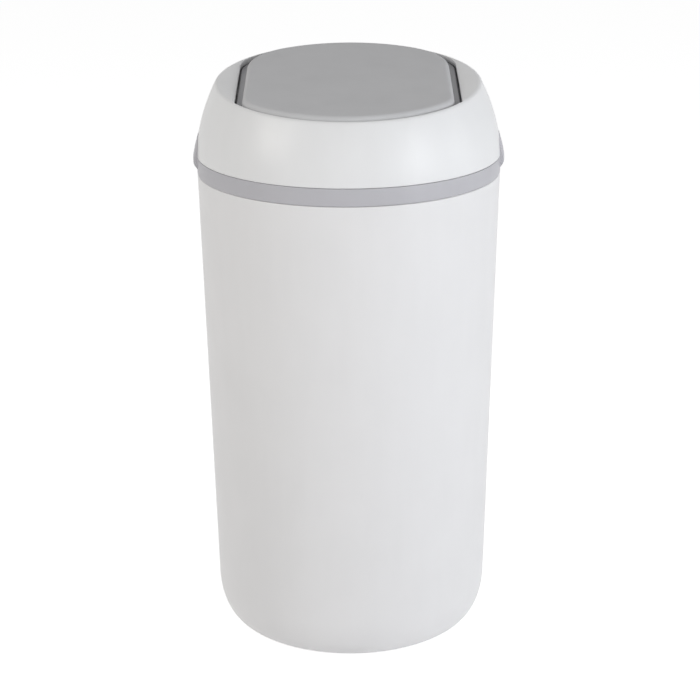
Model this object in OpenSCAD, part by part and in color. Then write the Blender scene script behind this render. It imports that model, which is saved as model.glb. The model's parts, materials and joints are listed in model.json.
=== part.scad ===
// Nappy bin: a tapered bucket, a grey ring that holds the liner, and a domed head whose slanted
// mouth is closed by a sprung push flap. A second sprung flap closes the throat below it.
// Frame: origin on the floor at the middle of the base, +Z up, -Y is the front.

/* [Bucket] */
// Height of the bucket's rim above the floor
bucket_h = 415; // [360:1:460]
// Outer radius of the bucket at its rim
bucket_top_r = 131; // [126:0.5:136]
// How much smaller the straight wall's radius would be at the floor
bucket_taper = 10.5; // [6:0.5:16]
// Thickness of the bucket's wall
bucket_wall = 3; // [2:0.1:3.6]
// Thickness of the bucket's floor
floor_t = 3.5; // [2.5:0.1:5]
// Height of the rounded foot of the wall
foot_round_h = 40; // [25:1:50]
// Depth of the rounded foot, measured inwards from the wall
foot_round_w = 20; // [12:1:24]
// Depth of the hollow under the floor
base_hollow = 3; // [1.5:0.5:5]
// Width of the flat ring round that hollow, on which the bucket stands
base_ring_w = 19.5; // [18:0.5:26]

/* [Anti-slip pads] */
// Number of rubber pads under the base
pad_count = 4; // [3:1:8]
// Radius of one pad
pad_r = 6.5; // [4:0.5:7]
// How far the pads stand out of the base
pad_proud = 0.8; // [0.4:0.1:1.4]
// Depth of the pocket that holds a pad
pad_pocket = 1.2; // [0.8:0.1:2]

/* [Liner ring] */
// Height of the grey band between bucket and head
band_h = 14.7; // [10:0.1:20]
// Thickness of the band's outer wall
band_wall = 3.2; // [2.4:0.1:4]
// Thickness of the web that rests on the bucket's rim
web_t = 3; // [2:0.1:4]
// Width of the web, from the ring's bore to the outside of the band
web_w = 12; // [11:0.1:12.5]
// Depth of the skirt that holds the liner inside the bucket
ring_skirt_h = 27; // [16:1:36]
// Thickness of the skirt
ring_skirt_t = 2.2; // [1.6:0.1:3]
// Room for the liner between the skirt's bead and the bucket
liner_gap = 0.5; // [0.3:0.1:1.2]
// Width of one lift tab
tab_w = 40; // [26:1:60]
// Height that a lift tab rises above the band
tab_rise = 18; // [10:1:22]
// How far a lift tab stands out of the band
tab_proud = 3.3; // [2:0.1:5]
// Clearance between a lift tab and its recess in the head
tab_gap = 0.35; // [0.2:0.05:0.6]

/* [Head] */
// Height of the dome between its base and the reference height of its curve
dome_h = 78; // [74:1:84]
// How much the dome's radius has shrunk at that height
dome_drop = 25.7; // [24:0.1:26.5]
// Power of the dome's curve: 2 is a parabola
dome_power = 1.85; // [1.7:0.01:2]
// Thickness of the dome
head_wall = 2.4; // [1.8:0.1:2.6]
// Slope of the mouth, towards the front
head_tilt = 6; // [4:0.5:7]
// Height of the middle of the mouth above the head's base
mouth_rise = 63.9; // [61:0.1:66]
// Place of the middle of the mouth, front to back
mouth_y = -6.5; // [-8:0.1:-5]
// Width of the shoulder, from the dome's foot in to the mouth's round front and back
shoulder_w = 19.5; // [19:0.1:20]
// How much further in the mouth's straight sides lie than its round front and back
mouth_flat = 17.2; // [15.5:0.1:21]
// Corner radius at the front of the mouth, seen from above
mouth_corner = 6; // [4:1:20]
// Corner radius at the back of the mouth
mouth_back_corner = 42; // [10:1:50]
// Depth of the white lip round the mouth
lip_depth = 5.5; // [4:0.1:5.8]

/* [Push flap] */
// Gap between the flap's cover and the mouth, front and back
cover_gap = 1.5; // [1:0.1:2.5]
// Gap between the flap's cover and the mouth's straight sides
cover_side_gap = 6.3; // [4:0.1:9]
// Corner radius at the front of the flap's cover, seen from above
cover_corner = 27; // [12:1:34]
// Corner radius at the back of the flap's cover
cover_back_corner = 40; // [12:1:48]
// How far the cover stands above the mouth at its edge
cover_proud = 2.6; // [1:0.1:4]
// Extra height of the cover's crown in its middle
cover_crown = 1.2; // [0.4:0.1:3]
// Radius of the cover's rounded edge
cover_edge = 5; // [3:0.5:6]
// Thickness of the cover and of the tray below it
flap_wall = 2.2; // [1.6:0.1:3]
// Depth of the flap's pivot below the mouth
pivot_depth = 11; // [10.5:0.1:12]
// Radius of the pivot pins
pivot_r = 3; // [2:0.1:3.4]

/* [Throat and trap flap] */
// Room between the throat's bore and the ring's, for the screws and the trap flap's swing
throat_room = 19; // [17.5:0.5:21]
// Gap between the push flap's sweep and the trap flap below it
sweep_gap = 4.2; // [3:0.1:12]
// Thickness of the throat and of the bowl above it
frame_wall = 2.4; // [1.8:0.1:2.6]
// Thickness of the trap flap
trap_t = 2.6; // [2:0.1:4]
// Radius of the trap flap's hinge pin
trap_pin_r = 1.5; // [1:0.1:1.8]
// Height of the ribs under the trap flap
trap_rib_h = 5; // [2:0.5:8]

/* [Fits and fasteners] */
// Gap between pieces that rest on each other
seat_gap = 0.3; // [0.2:0.05:0.5]
// Radial clearance of a pin that turns in its bush
run_gap = 0.05; // [0.03:0.01:0.08]
// Number of screws that hold the frame in the head
screw_count = 6; // [4:2:8]
// Radius of a screw's shank
screw_r = 1.5; // [1:0.1:2]
// Radius of a screw's head
screw_head_r = 2.9; // [2.2:0.1:3.2]

/* [Hidden] */
$fn = 96;

// Colours as the photograph shows them
shell_white = [0.90, 0.90, 0.91];
lid_grey = [0.66, 0.66, 0.67];
ring_grey = [0.72, 0.71, 0.74];
frame_grey = [0.55, 0.55, 0.57];
rubber_grey = [0.30, 0.30, 0.32];
steel = [0.75, 0.76, 0.78];

eps = 0.01;
cut = 1;                                    // how far a cutting solid runs past its face
both_sides = [-1, 1];                       // left is -X, right is +X

// Heights of the stack
bucket_z = pad_proud;
wall_slope = bucket_taper / bucket_h;
ring_z = bucket_h + seat_gap;
web_top = ring_z + web_t;
ring_top = ring_z + band_h;
head_z = ring_top + seat_gap;
mouth_z = head_z + mouth_rise;
head_r = bucket_top_r;

// Bucket
bucket_base_r = bucket_top_r - bucket_taper;
base_hollow_r = bucket_base_r - foot_round_w - base_ring_w;
rim_round = 1.2;
rim_lead = 0.6;                             // lead-in inside the rim
hollow_slope = 3;                           // how far the hollow's edge spreads
pad_fit = 0.1;
pad_ring_r = (base_hollow_r + bucket_base_r - foot_round_w) / 2;

// Ring: the skirt's bead reaches the bucket's wall less the liner
ring_bore_r = bucket_top_r - web_w;
skirt_z = ring_z - ring_skirt_h;
bead_h = 3;
bead_lead = 1;
ring_chamfer = 0.6;
bead_r = min(bucket_in_r(skirt_z), bucket_in_r(bucket_h)) - liner_gap;
tab_top = ring_top + tab_rise;
tab_drop = 9.5;                             // how far a tab reaches down the band
tab_low = ring_top - tab_drop;
tab_ramp = 3.5;                             // height over which a tab grows out of the band
tab_tip_t = 1.1;                            // thickness of a tab at its top
tab_corner = 12;
tab_sink = 0.15;                            // how far its recess goes in at the tab's top
tab_recess_r = dome_r(tab_top) - tab_sink;

// Frame: the flange lies on the gasket, which lies on the ring's web
gasket_t = 2.4;
gasket_groove = 1;
gasket_inset = 0.8;
gasket_in_r = ring_bore_r + gasket_inset;
gasket_w = 6;
flange_t = 3;
flange_z = web_top + seat_gap + gasket_t - gasket_groove;
flange_top = flange_z + flange_t;
flange_gap = 1;
flange_r = head_r - band_wall - flange_gap;
throat_r = ring_bore_r - throat_room;
screw_shift = 0.8;                          // outwards from the middle between throat and bore
screw_ring_r = (throat_r + frame_wall + ring_bore_r) / 2 + screw_shift;
screw_hole_gap = 0.2;
screw_l = 11;
boss_r = 3.4;
boss_h = 30;
boss_rib_t = 2.4;

// Mouth, and how its rim rolls over and falls away, as steps outwards and downwards
mouth_r = head_r - shoulder_w;
mouth_half = mouth_r - mouth_flat;
rim_roll = [[0, 0], [2.2, -0.6], [4, -2], [5.6, -4.2]];
rim_fall = [40, -56];
rim_inset = 0.7;                            // the roll starts this far inside the mouth's edge
rim_flat = 6;                               // width of the rim where it isn't rolled

// Flap, in the slanted frame of the mouth: u is across, v is towards the back, w is upwards
cover_r = mouth_r - cover_gap;
cover_half = mouth_half - cover_side_gap;
cover_drop = 4.4;
cover_bottom = -cover_drop;
tray_gap = 1.8;                             // tray's edge to the mouth's straight sides
tray_half = mouth_half - tray_gap;
tray_r = cover_r - 0.6;
corner_step = 1;                            // corners grow by this from mouth to seal to tray
tray_top = cover_bottom;
tray_bottom = tray_top - flap_wall;
pan_inset = 20;                             // pan's wall to the cover's round ends
pan_side_inset = 11;
pan_r = cover_r - pan_inset;
pan_half = cover_half - pan_side_inset;
pan_corner = 14;
pan_depth = 8;
seal_gap = 0.7;                             // seal's lip to the mouth
seal_side_gap = 0.5;
seal_r = mouth_r - seal_gap;
seal_half = mouth_half - seal_side_gap;
seal_t = 1.4;
seal_seat = 3;                              // how deep the seal sits in the tray's edge
cover_boss_r = 3.6;
pivot_boss_r = 6;
flap_screw_inset = 38;                      // screws to the pan's wall, front and back
flap_screw_side_inset = 27;
flap_screw_u = pan_half - flap_screw_side_inset;
flap_screw_v = pan_r - flap_screw_inset;
flap_screw_l = 9;
flap_screw_w = tray_bottom - pan_depth;

// The flap's sweep is a sphere about its pivot, and the bowl clears it
pivot_y = mouth_y + pivot_depth * sin(head_tilt);
pivot_z = mouth_z - pivot_depth * cos(head_tilt);
bowl_gap = 0.4;                             // bowl to the flap's sweep and to the dome's inside
bowl_r = seal_r + bowl_gap;
frame_top = -(lip_depth + 0.5);             // the bowl stops under the mouth's lip
cheek_u = mouth_half + seat_gap;
ledge_h = 25;
ledge_z = head_z + ledge_h;
throat_z = pivot_z - seal_r - sweep_gap;

// Pivot bearings
bush_t = 1.5;
bush_r = pivot_r + bush_t;
bush_flange_r = bush_r + 1.6;
bush_flange_t = 1;
cheek_boss_r = bush_r + 2.6;
cheek_boss_u = cheek_u + frame_wall + 4;
pin_in_u = tray_half - 11;
spring_u = cheek_boss_u + bush_flange_t + 0.3;
spring_wire_r = 0.55;
spring_turn = 3 * 360 + 270;
spring_pitch = 1.6;
spring_coil_r = pivot_r + 0.4;
spring_core_r = spring_coil_r - spring_wire_r - 0.25;
spring_l = spring_pitch * spring_turn / 360 + 2 * spring_wire_r;
spring_leg = 6;
leg_gap = 0.2;
crank_u = spring_u + spring_l + leg_gap;
crank_t = 1.8;
crank_peg_r = 1;
crank_peg_y = 3.4;
crank_peg_z = -(spring_coil_r + spring_wire_r + leg_gap + crank_peg_r);
anchor_r = 1.5;
anchor_y = spring_coil_r + spring_wire_r + leg_gap + anchor_r;
anchor_z = -sqrt((cheek_boss_r + anchor_r) * (cheek_boss_r + anchor_r) - anchor_y * anchor_y);

// Bumpers under the back of the flap
bumper_inset = 50;                          // bumpers to the cover's straight sides
bumper_gap = 4.5;                           // bumpers to the bowl's wall
bumper_r = 3;
bumper_t = 1.7;
bumper_u = cover_half - bumper_inset;
bumper_v = sqrt(bowl_r * bowl_r - bumper_u * bumper_u) - bumper_r - bumper_gap;
bumper_lug_edge = 1;
bumper_lug_w = 12;
bumper_lug_t = 4;
bumper_top = tray_bottom - seat_gap;

// Trap flap under the throat
trap_seal_t = 2.6;
trap_groove = 0.6;
trap_z = throat_z - seat_gap - trap_seal_t + trap_groove - trap_t;
trap_r = throat_r + frame_wall + 0.7;
trap_seal_w = 6;
trap_pin_y = trap_r + 4.3;
trap_pin_z = trap_z + trap_t * 0.65;
trap_rib_w = 2;
trap_rim_inset = 14;
knuckle_r = 3.6;
knuckle_out = 9;
knuckle_in = 5;
lug_t = 3;
trap_spring_wire_r = 0.4;
trap_spring_turn = 6 * 360 + 90;
trap_spring_pitch = 1.3;
trap_spring_coil_r = trap_pin_r + trap_spring_wire_r + 0.45;
trap_spring_leg = 9;
trap_spring_l = trap_spring_pitch * trap_spring_turn / 360;

// Outer radius of the bucket's wall at height z
function bucket_out_r(z) = bucket_base_r + wall_slope * z;
function bucket_in_r(z) = bucket_out_r(z) - bucket_wall;
// Outer radius of the dome at height z
function dome_r(z) = head_r - dome_drop * pow(max(0, z - head_z) / dome_h, dome_power);
// Points along an elliptic arc about [cx, cy], from angle a to angle b
function arc(cx, cy, rx, ry, a, b, steps) =
    [for (i = [0:steps]) let (t = a + (b - a) * i / steps) [cx + rx * cos(t), cy + ry * sin(t)]];

// ---------- shared shapes ----------

// Puts children in the slanted frame of the mouth
module at_mouth() {
    translate([0, mouth_y, mouth_z]) rotate([head_tilt, 0, 0]) children();
}

// A cylinder along +X from u0 to u1, about the flap's pivot, on the left or the right
module pivot_cyl(side, u0, u1, r, fn = 48) {
    translate([side * (u0 + u1) / 2, pivot_y, pivot_z]) rotate([0, 90, 0])
        cylinder(h = u1 - u0, r = r, center = true, $fn = fn);
}

// Middle of the round at a corner of the cut circle. The round runs a hair past both outlines, so
// that it crosses them instead of only touching.
function corner_middle(r, half, corner) =
    let (past = corner * 0.002, reach = r - corner + past, cx = half - corner + past)
    [cx, sqrt(reach * reach - cx * cx)];

// Everything outwards of a corner's middle, from which the round is left standing
module corner_wedge(r, half, corner) {
    c = corner_middle(r, half, corner);
    far = (r + cut) / norm(c);
    polygon([c, [half + cut, c.y], [half + cut, c.y * far], c * far]);
}

// Puts children at the two front corners or the two back corners of a plan drawn for +X and +Y
module at_corners(back) {
    for (mx = [0, 1]) mirror([mx, 0]) mirror([0, back ? 0 : 1]) children();
}

// A circle cut off by two straight sides, with one corner radius at the front and one at the back
module cut_circle(r, half, front, back) {
    difference() {
        intersection() {
            circle(r, $fn = 180);
            square([2 * half, 2 * r], center = true);
        }
        for (corner = [[front, false], [back, true]]) at_corners(corner[1]) difference() {
            corner_wedge(r, half, corner[0]);
            translate(corner_middle(r, half, corner[0])) circle(corner[0], $fn = 72);
        }
    }
}

// A plain tube about Z
module tube(h, inner_r, outer_r) {
    difference() {
        cylinder(h = h, r = outer_r, $fn = 180);
        translate([0, 0, -cut]) cylinder(h = h + 2 * cut, r = inner_r, $fn = 180);
    }
}

// The cut circle as a plate from w0 to w1
module cut_plate(r, half, front, back, w0, w1) {
    translate([0, 0, w0]) linear_extrude(w1 - w0) cut_circle(r, half, front, back);
}

// The dome's volume, drawn in by the given amount all round
module dome_solid(inset) {
    steps = 20;
    top = head_z + dome_h + 12;
    rotate_extrude($fn = 180) polygon(concat(
        [[0, head_z], [dome_r(head_z) - inset, head_z]],
        [for (i = [1:steps]) let (z = head_z + (top - head_z) * i / steps) [dome_r(z) - inset, z]],
        [[0, top]]));
}

// Everything under the mouth's plane, less the soft round of the rim
module under_mouth(w, rounded = true) {
    rim = mouth_r - rim_inset;
    deep = w - mouth_rise - head_r;
    flat = rounded ? [for (step = rim_roll) [rim + step.x, w + step.y]] : [[rim + rim_flat, w]];
    at_mouth() rotate_extrude($fn = 180) polygon(concat([[0, w]], flat,
        [[rim + rim_fall.x, w + rim_fall.y], [rim + rim_fall.x, deep], [0, deep]]));
}

// A wire of round section along a list of points; ref is never parallel to it
module wire(points, r, ref = [1, 0, 0], sides = 6) {
    n = len(points);
    rings = [for (i = [0:n - 1])
        let (t = points[min(i + 1, n - 1)] - points[max(i - 1, 0)],
            a = cross(t, ref) / norm(cross(t, ref)),
            b = cross(t, a) / norm(cross(t, a)))
        for (k = [0:sides - 1])
            points[i] + r * (a * cos(360 * k / sides) + b * sin(360 * k / sides))];
    walls = [for (i = [0:n - 2], k = [0:sides - 1])
        let (p = i * sides + k, q = i * sides + (k + 1) % sides)
        each [[p, p + sides, q], [q, p + sides, q + sides]]];
    ends = [for (k = [1:sides - 2]) each [[0, k, k + 1],
        [(n - 1) * sides, (n - 1) * sides + k + 1, (n - 1) * sides + k]]];
    polyhedron(rings, concat(walls, ends));
}

// Points of a torsion spring along X: a straight leg, the curls, and a second straight leg.
// It turns by the given angle from angle a0, in the plane of Y and Z; way is 1 or -1.
function torsion_points(coil_r, turn, pitch, leg, a0, way) =
    let (steps = round(turn / 45),
        point = function (t) [pitch * turn / 360 * t, coil_r * cos(a0 + way * turn * t),
            coil_r * sin(a0 + way * turn * t)],
        heading = function (a) way * [0, -sin(a), cos(a)])
    concat([point(0) - leg * heading(a0)], [for (i = [0:steps]) point(i / steps)],
        [point(1) + leg * heading(a0 + way * turn)]);

// A screw pointing up, its head below the face at z = 0
module screw(shank) {
    translate([0, 0, -screw_r * 1.2]) cylinder(h = screw_r * 1.2, r = screw_head_r, $fn = 32);
    translate([0, 0, -eps]) cylinder(h = shank + eps, r = screw_r, $fn = 24);
}

// Places children at each screw of the frame
module at_frame_screws() {
    for (i = [0:screw_count - 1]) rotate(90 + 360 * i / screw_count)
        translate([screw_ring_r, 0, flange_z]) children();
}

// Places children at each screw of the flap, in the slanted frame
module at_flap_screws() {
    for (su = both_sides, sv = both_sides)
        translate([su * flap_screw_u, sv * flap_screw_v, flap_screw_w]) children();
}

// ---------- bucket ----------

module outer_bucket() {
    foot_z = bucket_z + foot_round_h;
    foot_r = bucket_out_r(foot_z) - foot_round_w;
    inner_w = foot_round_w - bucket_wall;
    inner_h = foot_round_h - floor_t;
    outside = concat(
        arc(foot_r, foot_z, foot_round_w, foot_round_h, -90, 0, 14),
        [[bucket_top_r - 0.2, bucket_h - rim_round]],
        arc(bucket_top_r - rim_round, bucket_h - rim_round, rim_round, rim_round, 20, 90, 4));
    inside = concat(
        [[bucket_in_r(bucket_h) + rim_lead, bucket_h], [bucket_in_r(bucket_h), bucket_h - rim_lead]],
        arc(foot_r, foot_z, inner_w, inner_h, 0, -90, 12),
        [[base_hollow_r + hollow_slope, bucket_z + floor_t],
            [base_hollow_r, bucket_z + floor_t + base_hollow],
            [0, bucket_z + floor_t + base_hollow]]);
    under = [[0, bucket_z + base_hollow], [base_hollow_r, bucket_z + base_hollow],
        [base_hollow_r + hollow_slope, bucket_z]];
    color(shell_white) difference() {
        rotate_extrude($fn = 180) polygon(concat(outside, inside, under));
        at_pads() cylinder(h = pad_pocket + pad_proud, r = pad_r + pad_fit, $fn = 48);
    }
}

module at_pads() {
    for (i = [0:pad_count - 1]) rotate(360 * (i + 0.5) / pad_count)
        translate([pad_ring_r, 0, 0]) children();
}

module base_pads() {
    color(rubber_grey) at_pads() rotate_extrude($fn = 48) polygon([[0, 0], [pad_r - 0.5, 0],
        [pad_r, 0.4], [pad_r, pad_proud + pad_pocket], [0, pad_proud + pad_pocket]]);
}

// ---------- liner ring ----------

module bag_ring() {
    color(ring_grey) {
        rotate_extrude($fn = 180) union() {
            polygon([[head_r - band_wall, ring_z], [head_r - ring_chamfer, ring_z],
                [head_r, ring_z + ring_chamfer], [head_r, ring_top - ring_chamfer],
                [head_r - ring_chamfer, ring_top], [head_r - band_wall, ring_top]]);
            polygon([[ring_bore_r, ring_z], [head_r - band_wall + eps, ring_z],
                [head_r - band_wall + eps, web_top], [ring_bore_r + ring_chamfer, web_top],
                [ring_bore_r, web_top - ring_chamfer]]);
            polygon([[ring_bore_r, ring_z + eps], [ring_bore_r, skirt_z + bead_lead],
                [ring_bore_r + bead_lead, skirt_z], [bead_r - bead_lead, skirt_z],
                [bead_r, skirt_z + bead_h / 2], [ring_bore_r + ring_skirt_t, skirt_z + 2 * bead_h],
                [ring_bore_r + ring_skirt_t, ring_z + eps]]);
        }
        lift_tabs();
    }
}

// The two lift tabs: tongues that stand in shallow recesses at the sides of the head
module lift_tabs() {
    intersection() {
        rotate_extrude($fn = 180) polygon([[head_r - band_wall / 2, tab_low], [head_r + 0.2, tab_low],
            [head_r + tab_proud, tab_low + tab_ramp], [head_r + tab_proud, ring_top],
            [head_r + tab_proud * 0.8, ring_top + tab_rise * 0.45],
            [tab_recess_r + tab_gap + tab_tip_t, tab_top], [tab_recess_r + tab_gap, tab_top],
            [tab_recess_r + tab_gap, ring_top], [head_r - band_wall / 2, ring_top - 0.7]]);
        tab_prism(0);
    }
}

// The outline of a lift tab, run through the bin from side to side, and grown all round
module tab_prism(grow) {
    half = tab_w / 2 + grow;
    corner = tab_corner + grow;
    top = tab_top + grow;
    rotate([90, 0, 90]) linear_extrude(2 * (head_r + tab_rise), center = true) union() {
        translate([-half, tab_low - cut]) square([2 * half, top - corner - tab_low + cut]);
        translate([corner - half, top - corner - cut]) square([2 * (half - corner), corner + cut]);
        for (s = both_sides) translate([s * (half - corner), top - corner]) circle(corner, $fn = 64);
    }
}

// ---------- head ----------

module head_housing() {
    color(shell_white) difference() {
        union() {
            difference() {
                intersection() {
                    dome_solid(0);
                    under_mouth(0);
                }
                intersection() {
                    translate([0, 0, -cut]) dome_solid(head_wall);
                    under_mouth(-head_wall, rounded = false);
                }
                translate([0, 0, head_z - cut])
                    cylinder(h = cut + 0.5, r = head_r - head_wall, $fn = 180);
            }
            intersection() {
                dome_solid(0);
                under_mouth(0);
                at_mouth() translate([0, 0, -lip_depth]) linear_extrude(lip_depth)
                    cut_circle(mouth_r + head_wall, mouth_half + head_wall,
                        mouth_corner + head_wall, mouth_back_corner + head_wall);
            }
            intersection() {
                dome_solid(0);
                tab_prism(tab_gap + head_wall);
                translate([0, 0, head_z]) tube(tab_rise + 8, tab_recess_r - head_wall, tab_recess_r + 2);
            }
            screw_bosses();
        }
        intersection() {
            tab_prism(tab_gap);
            translate([0, 0, head_z - cut]) tube(tab_rise + 8, tab_recess_r, head_r + 5);
        }
        at_mouth() cut_plate(mouth_r, mouth_half, mouth_corner, mouth_back_corner,
            -lip_depth - cut, lip_depth);
        at_frame_screws() cylinder(h = screw_l + 2, r = screw_r + 0.02, $fn = 24);
    }
}

// Bosses for the frame's screws, each on a rib from the dome, clear of the bowl
module screw_bosses() {
    boss_top = flange_top + boss_h;
    difference() {
        intersection() {
            at_frame_screws() translate([0, 0, flange_t + 0.1]) {
                cylinder(h = boss_h, r = boss_r, $fn = 48);
                translate([0, -boss_rib_t / 2, 0])
                    cube([head_r - head_wall - 1.5 - screw_ring_r, boss_rib_t, boss_h]);
                translate([0, -boss_rib_t / 2, head_z - flange_top + 2])
                    cube([head_r, boss_rib_t, boss_h]);
            }
            union() {
                dome_solid(head_wall / 2);
                translate([0, 0, flange_top]) cylinder(h = head_z - flange_top + 1,
                    r = head_r - band_wall - 1, $fn = 180);
            }
        }
        translate([0, pivot_y, pivot_z]) sphere(bowl_r + frame_wall + 0.5, $fn = 128);
        translate([0, 0, boss_top]) cylinder(h = dome_h, r = head_r, $fn = 64);
    }
}

// The grey frame: a flange, the throat and the bowl in which the flap swings
module chute_frame() {
    color(frame_grey) difference() {
        union() {
            translate([0, 0, flange_z]) cylinder(h = flange_t, r = flange_r, $fn = 180);
            translate([0, 0, throat_z])
                cylinder(h = ledge_z - throat_z, r = throat_r + frame_wall, $fn = 180);
            frame_bowl();
            for (side = both_sides) {
                pivot_cyl(side, cheek_u + frame_wall - eps, cheek_boss_u, cheek_boss_r);
                translate([0, anchor_y, anchor_z])
                    pivot_cyl(side, cheek_u + eps, spring_u + 2 * spring_wire_r + 0.6, anchor_r, 32);
            }
            trap_lugs();
        }
        intersection() {
            translate([0, pivot_y, pivot_z]) sphere(bowl_r, $fn = 160);
            translate([0, 0, pivot_z]) cube([2 * cheek_u, 4 * head_r, 4 * head_r], center = true);
        }
        translate([0, 0, throat_z - cut]) cylinder(h = ledge_z - frame_wall - throat_z + cut,
            r = throat_r, $fn = 180);
        for (side = both_sides) pivot_cyl(side, cheek_u - 4, cheek_boss_u + cut, bush_r + 0.02);
        gasket_ring(flange_z - cut, flange_z + gasket_groove, 0.1);
        at_frame_screws() translate([0, 0, -cut])
            cylinder(h = flange_t + 2 * cut, r = screw_r + screw_hole_gap, $fn = 24);
    }
    color(frame_grey) bumper_lugs();
}

// The bowl's shell: a sphere about the pivot, with flat cheeks for the bearings
module frame_bowl() {
    intersection() {
        translate([0, pivot_y, pivot_z]) sphere(bowl_r + frame_wall, $fn = 160);
        translate([0, 0, pivot_z])
            cube([2 * (cheek_u + frame_wall), 4 * head_r, 4 * head_r], center = true);
        translate([0, 0, flange_z]) cylinder(h = 2 * dome_h, r = head_r, $fn = 180);
        translate([0, 0, -cut]) dome_solid(head_wall + bowl_gap);
        under_mouth(frame_top, rounded = false);
    }
}

// Lugs on the bowl's back wall that carry the bumpers
module bumper_lugs() {
    intersection() {
        at_mouth() for (side = both_sides)
            translate([side * bumper_u - bumper_lug_w / 2, bumper_v - bumper_r - bumper_lug_edge,
                bumper_top - bumper_t - bumper_lug_t]) cube([bumper_lug_w, bowl_r, bumper_lug_t]);
        translate([0, pivot_y, pivot_z]) sphere(bowl_r + frame_wall / 2, $fn = 160);
    }
}

// Two lugs behind the throat for the trap flap's pin, and the block that backs its spring's leg
module trap_lugs() {
    back = trap_pin_y + trap_spring_coil_r - trap_spring_wire_r - leg_gap;
    translate([-knuckle_out - 1, throat_r + frame_wall / 2, throat_z + 4])
        cube([2 * knuckle_out + 2, back - throat_r - frame_wall / 2, 6]);
    for (side = both_sides) translate([side * (knuckle_out + seat_gap + lug_t / 2), 0, 0]) difference() {
        union() {
            translate([0, trap_pin_y, trap_pin_z]) rotate([0, 90, 0])
                cylinder(h = lug_t, r = knuckle_r, center = true, $fn = 48);
            translate([-lug_t / 2, trap_pin_y - knuckle_r, trap_pin_z])
                cube([lug_t, 2 * knuckle_r, throat_z + 10 - trap_pin_z]);
            translate([-lug_t / 2, throat_r + frame_wall / 2, throat_z + 0.4])
                cube([lug_t, trap_pin_y - throat_r, 9.6]);
        }
        translate([0, trap_pin_y, trap_pin_z]) rotate([0, 90, 0])
            cylinder(h = lug_t + 2 * cut, r = trap_pin_r + run_gap, center = true, $fn = 32);
    }
}

module frame_screws() {
    color(steel) at_frame_screws() screw(screw_l);
}

// A flat ring about the bin's axis, for the gasket and its groove
module gasket_ring(z0, z1, grow) {
    translate([0, 0, z0]) tube(z1 - z0, gasket_in_r - grow, gasket_in_r + gasket_w + grow);
}

module head_gasket() {
    color(rubber_grey) gasket_ring(web_top + seat_gap, flange_z + gasket_groove, 0);
}

module pivot_bush(side) {
    color(shell_white) difference() {
        union() {
            pivot_cyl(side, cheek_u + 0.2, cheek_boss_u, bush_r);
            pivot_cyl(side, cheek_boss_u, cheek_boss_u + bush_flange_t, bush_flange_r);
        }
        pivot_cyl(side, cheek_u - cut, cheek_boss_u + bush_flange_t + cut, pivot_r + run_gap);
    }
}

// ---------- push flap ----------

// The cover's volume with its rounded edge, drawn in by the given amount
module cover_solid(inset) {
    top = cover_proud - inset;
    edge = max(cover_edge - inset, 1);
    r = cover_r - inset;
    half = cover_half - inset;
    crown = [for (i = [1:6]) let (k = 1 - i / 6) [(r - edge) * k, top + cover_crown * (1 - k * k)]];
    difference() {
        intersection() {
            rotate_extrude($fn = 180) polygon(concat([[0, cover_bottom], [r, cover_bottom]],
                arc(r - edge, top - edge, edge, edge, 0, 90, 8), crown));
            rotate([90, 0, 0]) linear_extrude(2 * r + 2, center = true) union() {
                translate([-half, cover_bottom - cut])
                    square([2 * half, top - edge - cover_bottom + cut]);
                translate([edge - half, cover_bottom - cut])
                    square([2 * (half - edge), top - cover_bottom + cut]);
                polygon([[edge - half, top - cut], [half - edge, top - cut], [half - edge, top],
                    [0, top + 2 * cover_crown], [edge - half, top]]);
                for (s = both_sides) translate([s * (half - edge), top - edge]) circle(edge, $fn = 64);
            }
        }
        cover_corner_cut(r, half, cover_corner - inset, false, top, edge);
        cover_corner_cut(r, half, cover_back_corner - inset, true, top, edge);
    }
}

// What the cover loses at two of its corners: the wedge outwards of a corner's middle, less a
// round block with the cover's own rounded edge and a little of its crown
module cover_corner_cut(r, half, corner, back, top, edge) {
    at_corners(back) difference() {
        translate([0, 0, cover_bottom - cut]) linear_extrude(top + 2 * cover_crown - cover_bottom + cut)
            corner_wedge(r, half, corner);
        translate(corner_middle(r, half, corner)) rotate_extrude($fn = 72)
            polygon(concat([[0, cover_bottom - 2 * cut], [corner, cover_bottom - 2 * cut]],
                arc(corner - edge, top - edge, edge, edge, 0, 90, 8), [[0, top + 3 * cover_crown]]));
    }
}

module flap_cover() {
    color(lid_grey) at_mouth() difference() {
        union() {
            difference() {
                cover_solid(0);
                translate([0, 0, -eps]) cover_solid(flap_wall);
                cut_plate(cover_r - flap_wall, cover_half - flap_wall, cover_corner - flap_wall,
                    cover_back_corner - flap_wall, cover_bottom - cut, cover_bottom + 1);
            }
            at_flap_screws() translate([0, 0, flap_wall])
                cylinder(h = cover_proud - flap_screw_w - 1.5 * flap_wall, r = cover_boss_r, $fn = 48);
        }
        at_flap_screws() cylinder(h = flap_screw_l + 0.3, r = screw_r + 0.02, $fn = 24);
    }
}

// The tray closes the cover from below and carries the pivot pins
module flap_tray() {
    color(frame_grey) difference() {
        union() {
            at_mouth() {
                tray_plate(0, tray_bottom, tray_top);
                cut_plate(pan_r, pan_half, pan_corner, pan_corner, tray_bottom - pan_depth,
                    tray_bottom + eps);
            }
            for (side = both_sides) tray_cheek(side);
        }
        at_mouth() {
            cut_plate(pan_r - flap_wall, pan_half - flap_wall, pan_corner - flap_wall,
                pan_corner - flap_wall, tray_bottom - pan_depth + flap_wall, tray_top + cut);
            seal_slot();
        }
        for (side = both_sides) pivot_cyl(side, pin_in_u, tray_half + cut, pivot_r + 0.01);
        at_mouth() at_flap_screws() translate([0, 0, -cut])
            cylinder(h = flap_wall + 2 * cut, r = screw_r + screw_hole_gap, $fn = 24);
    }
}

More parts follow.
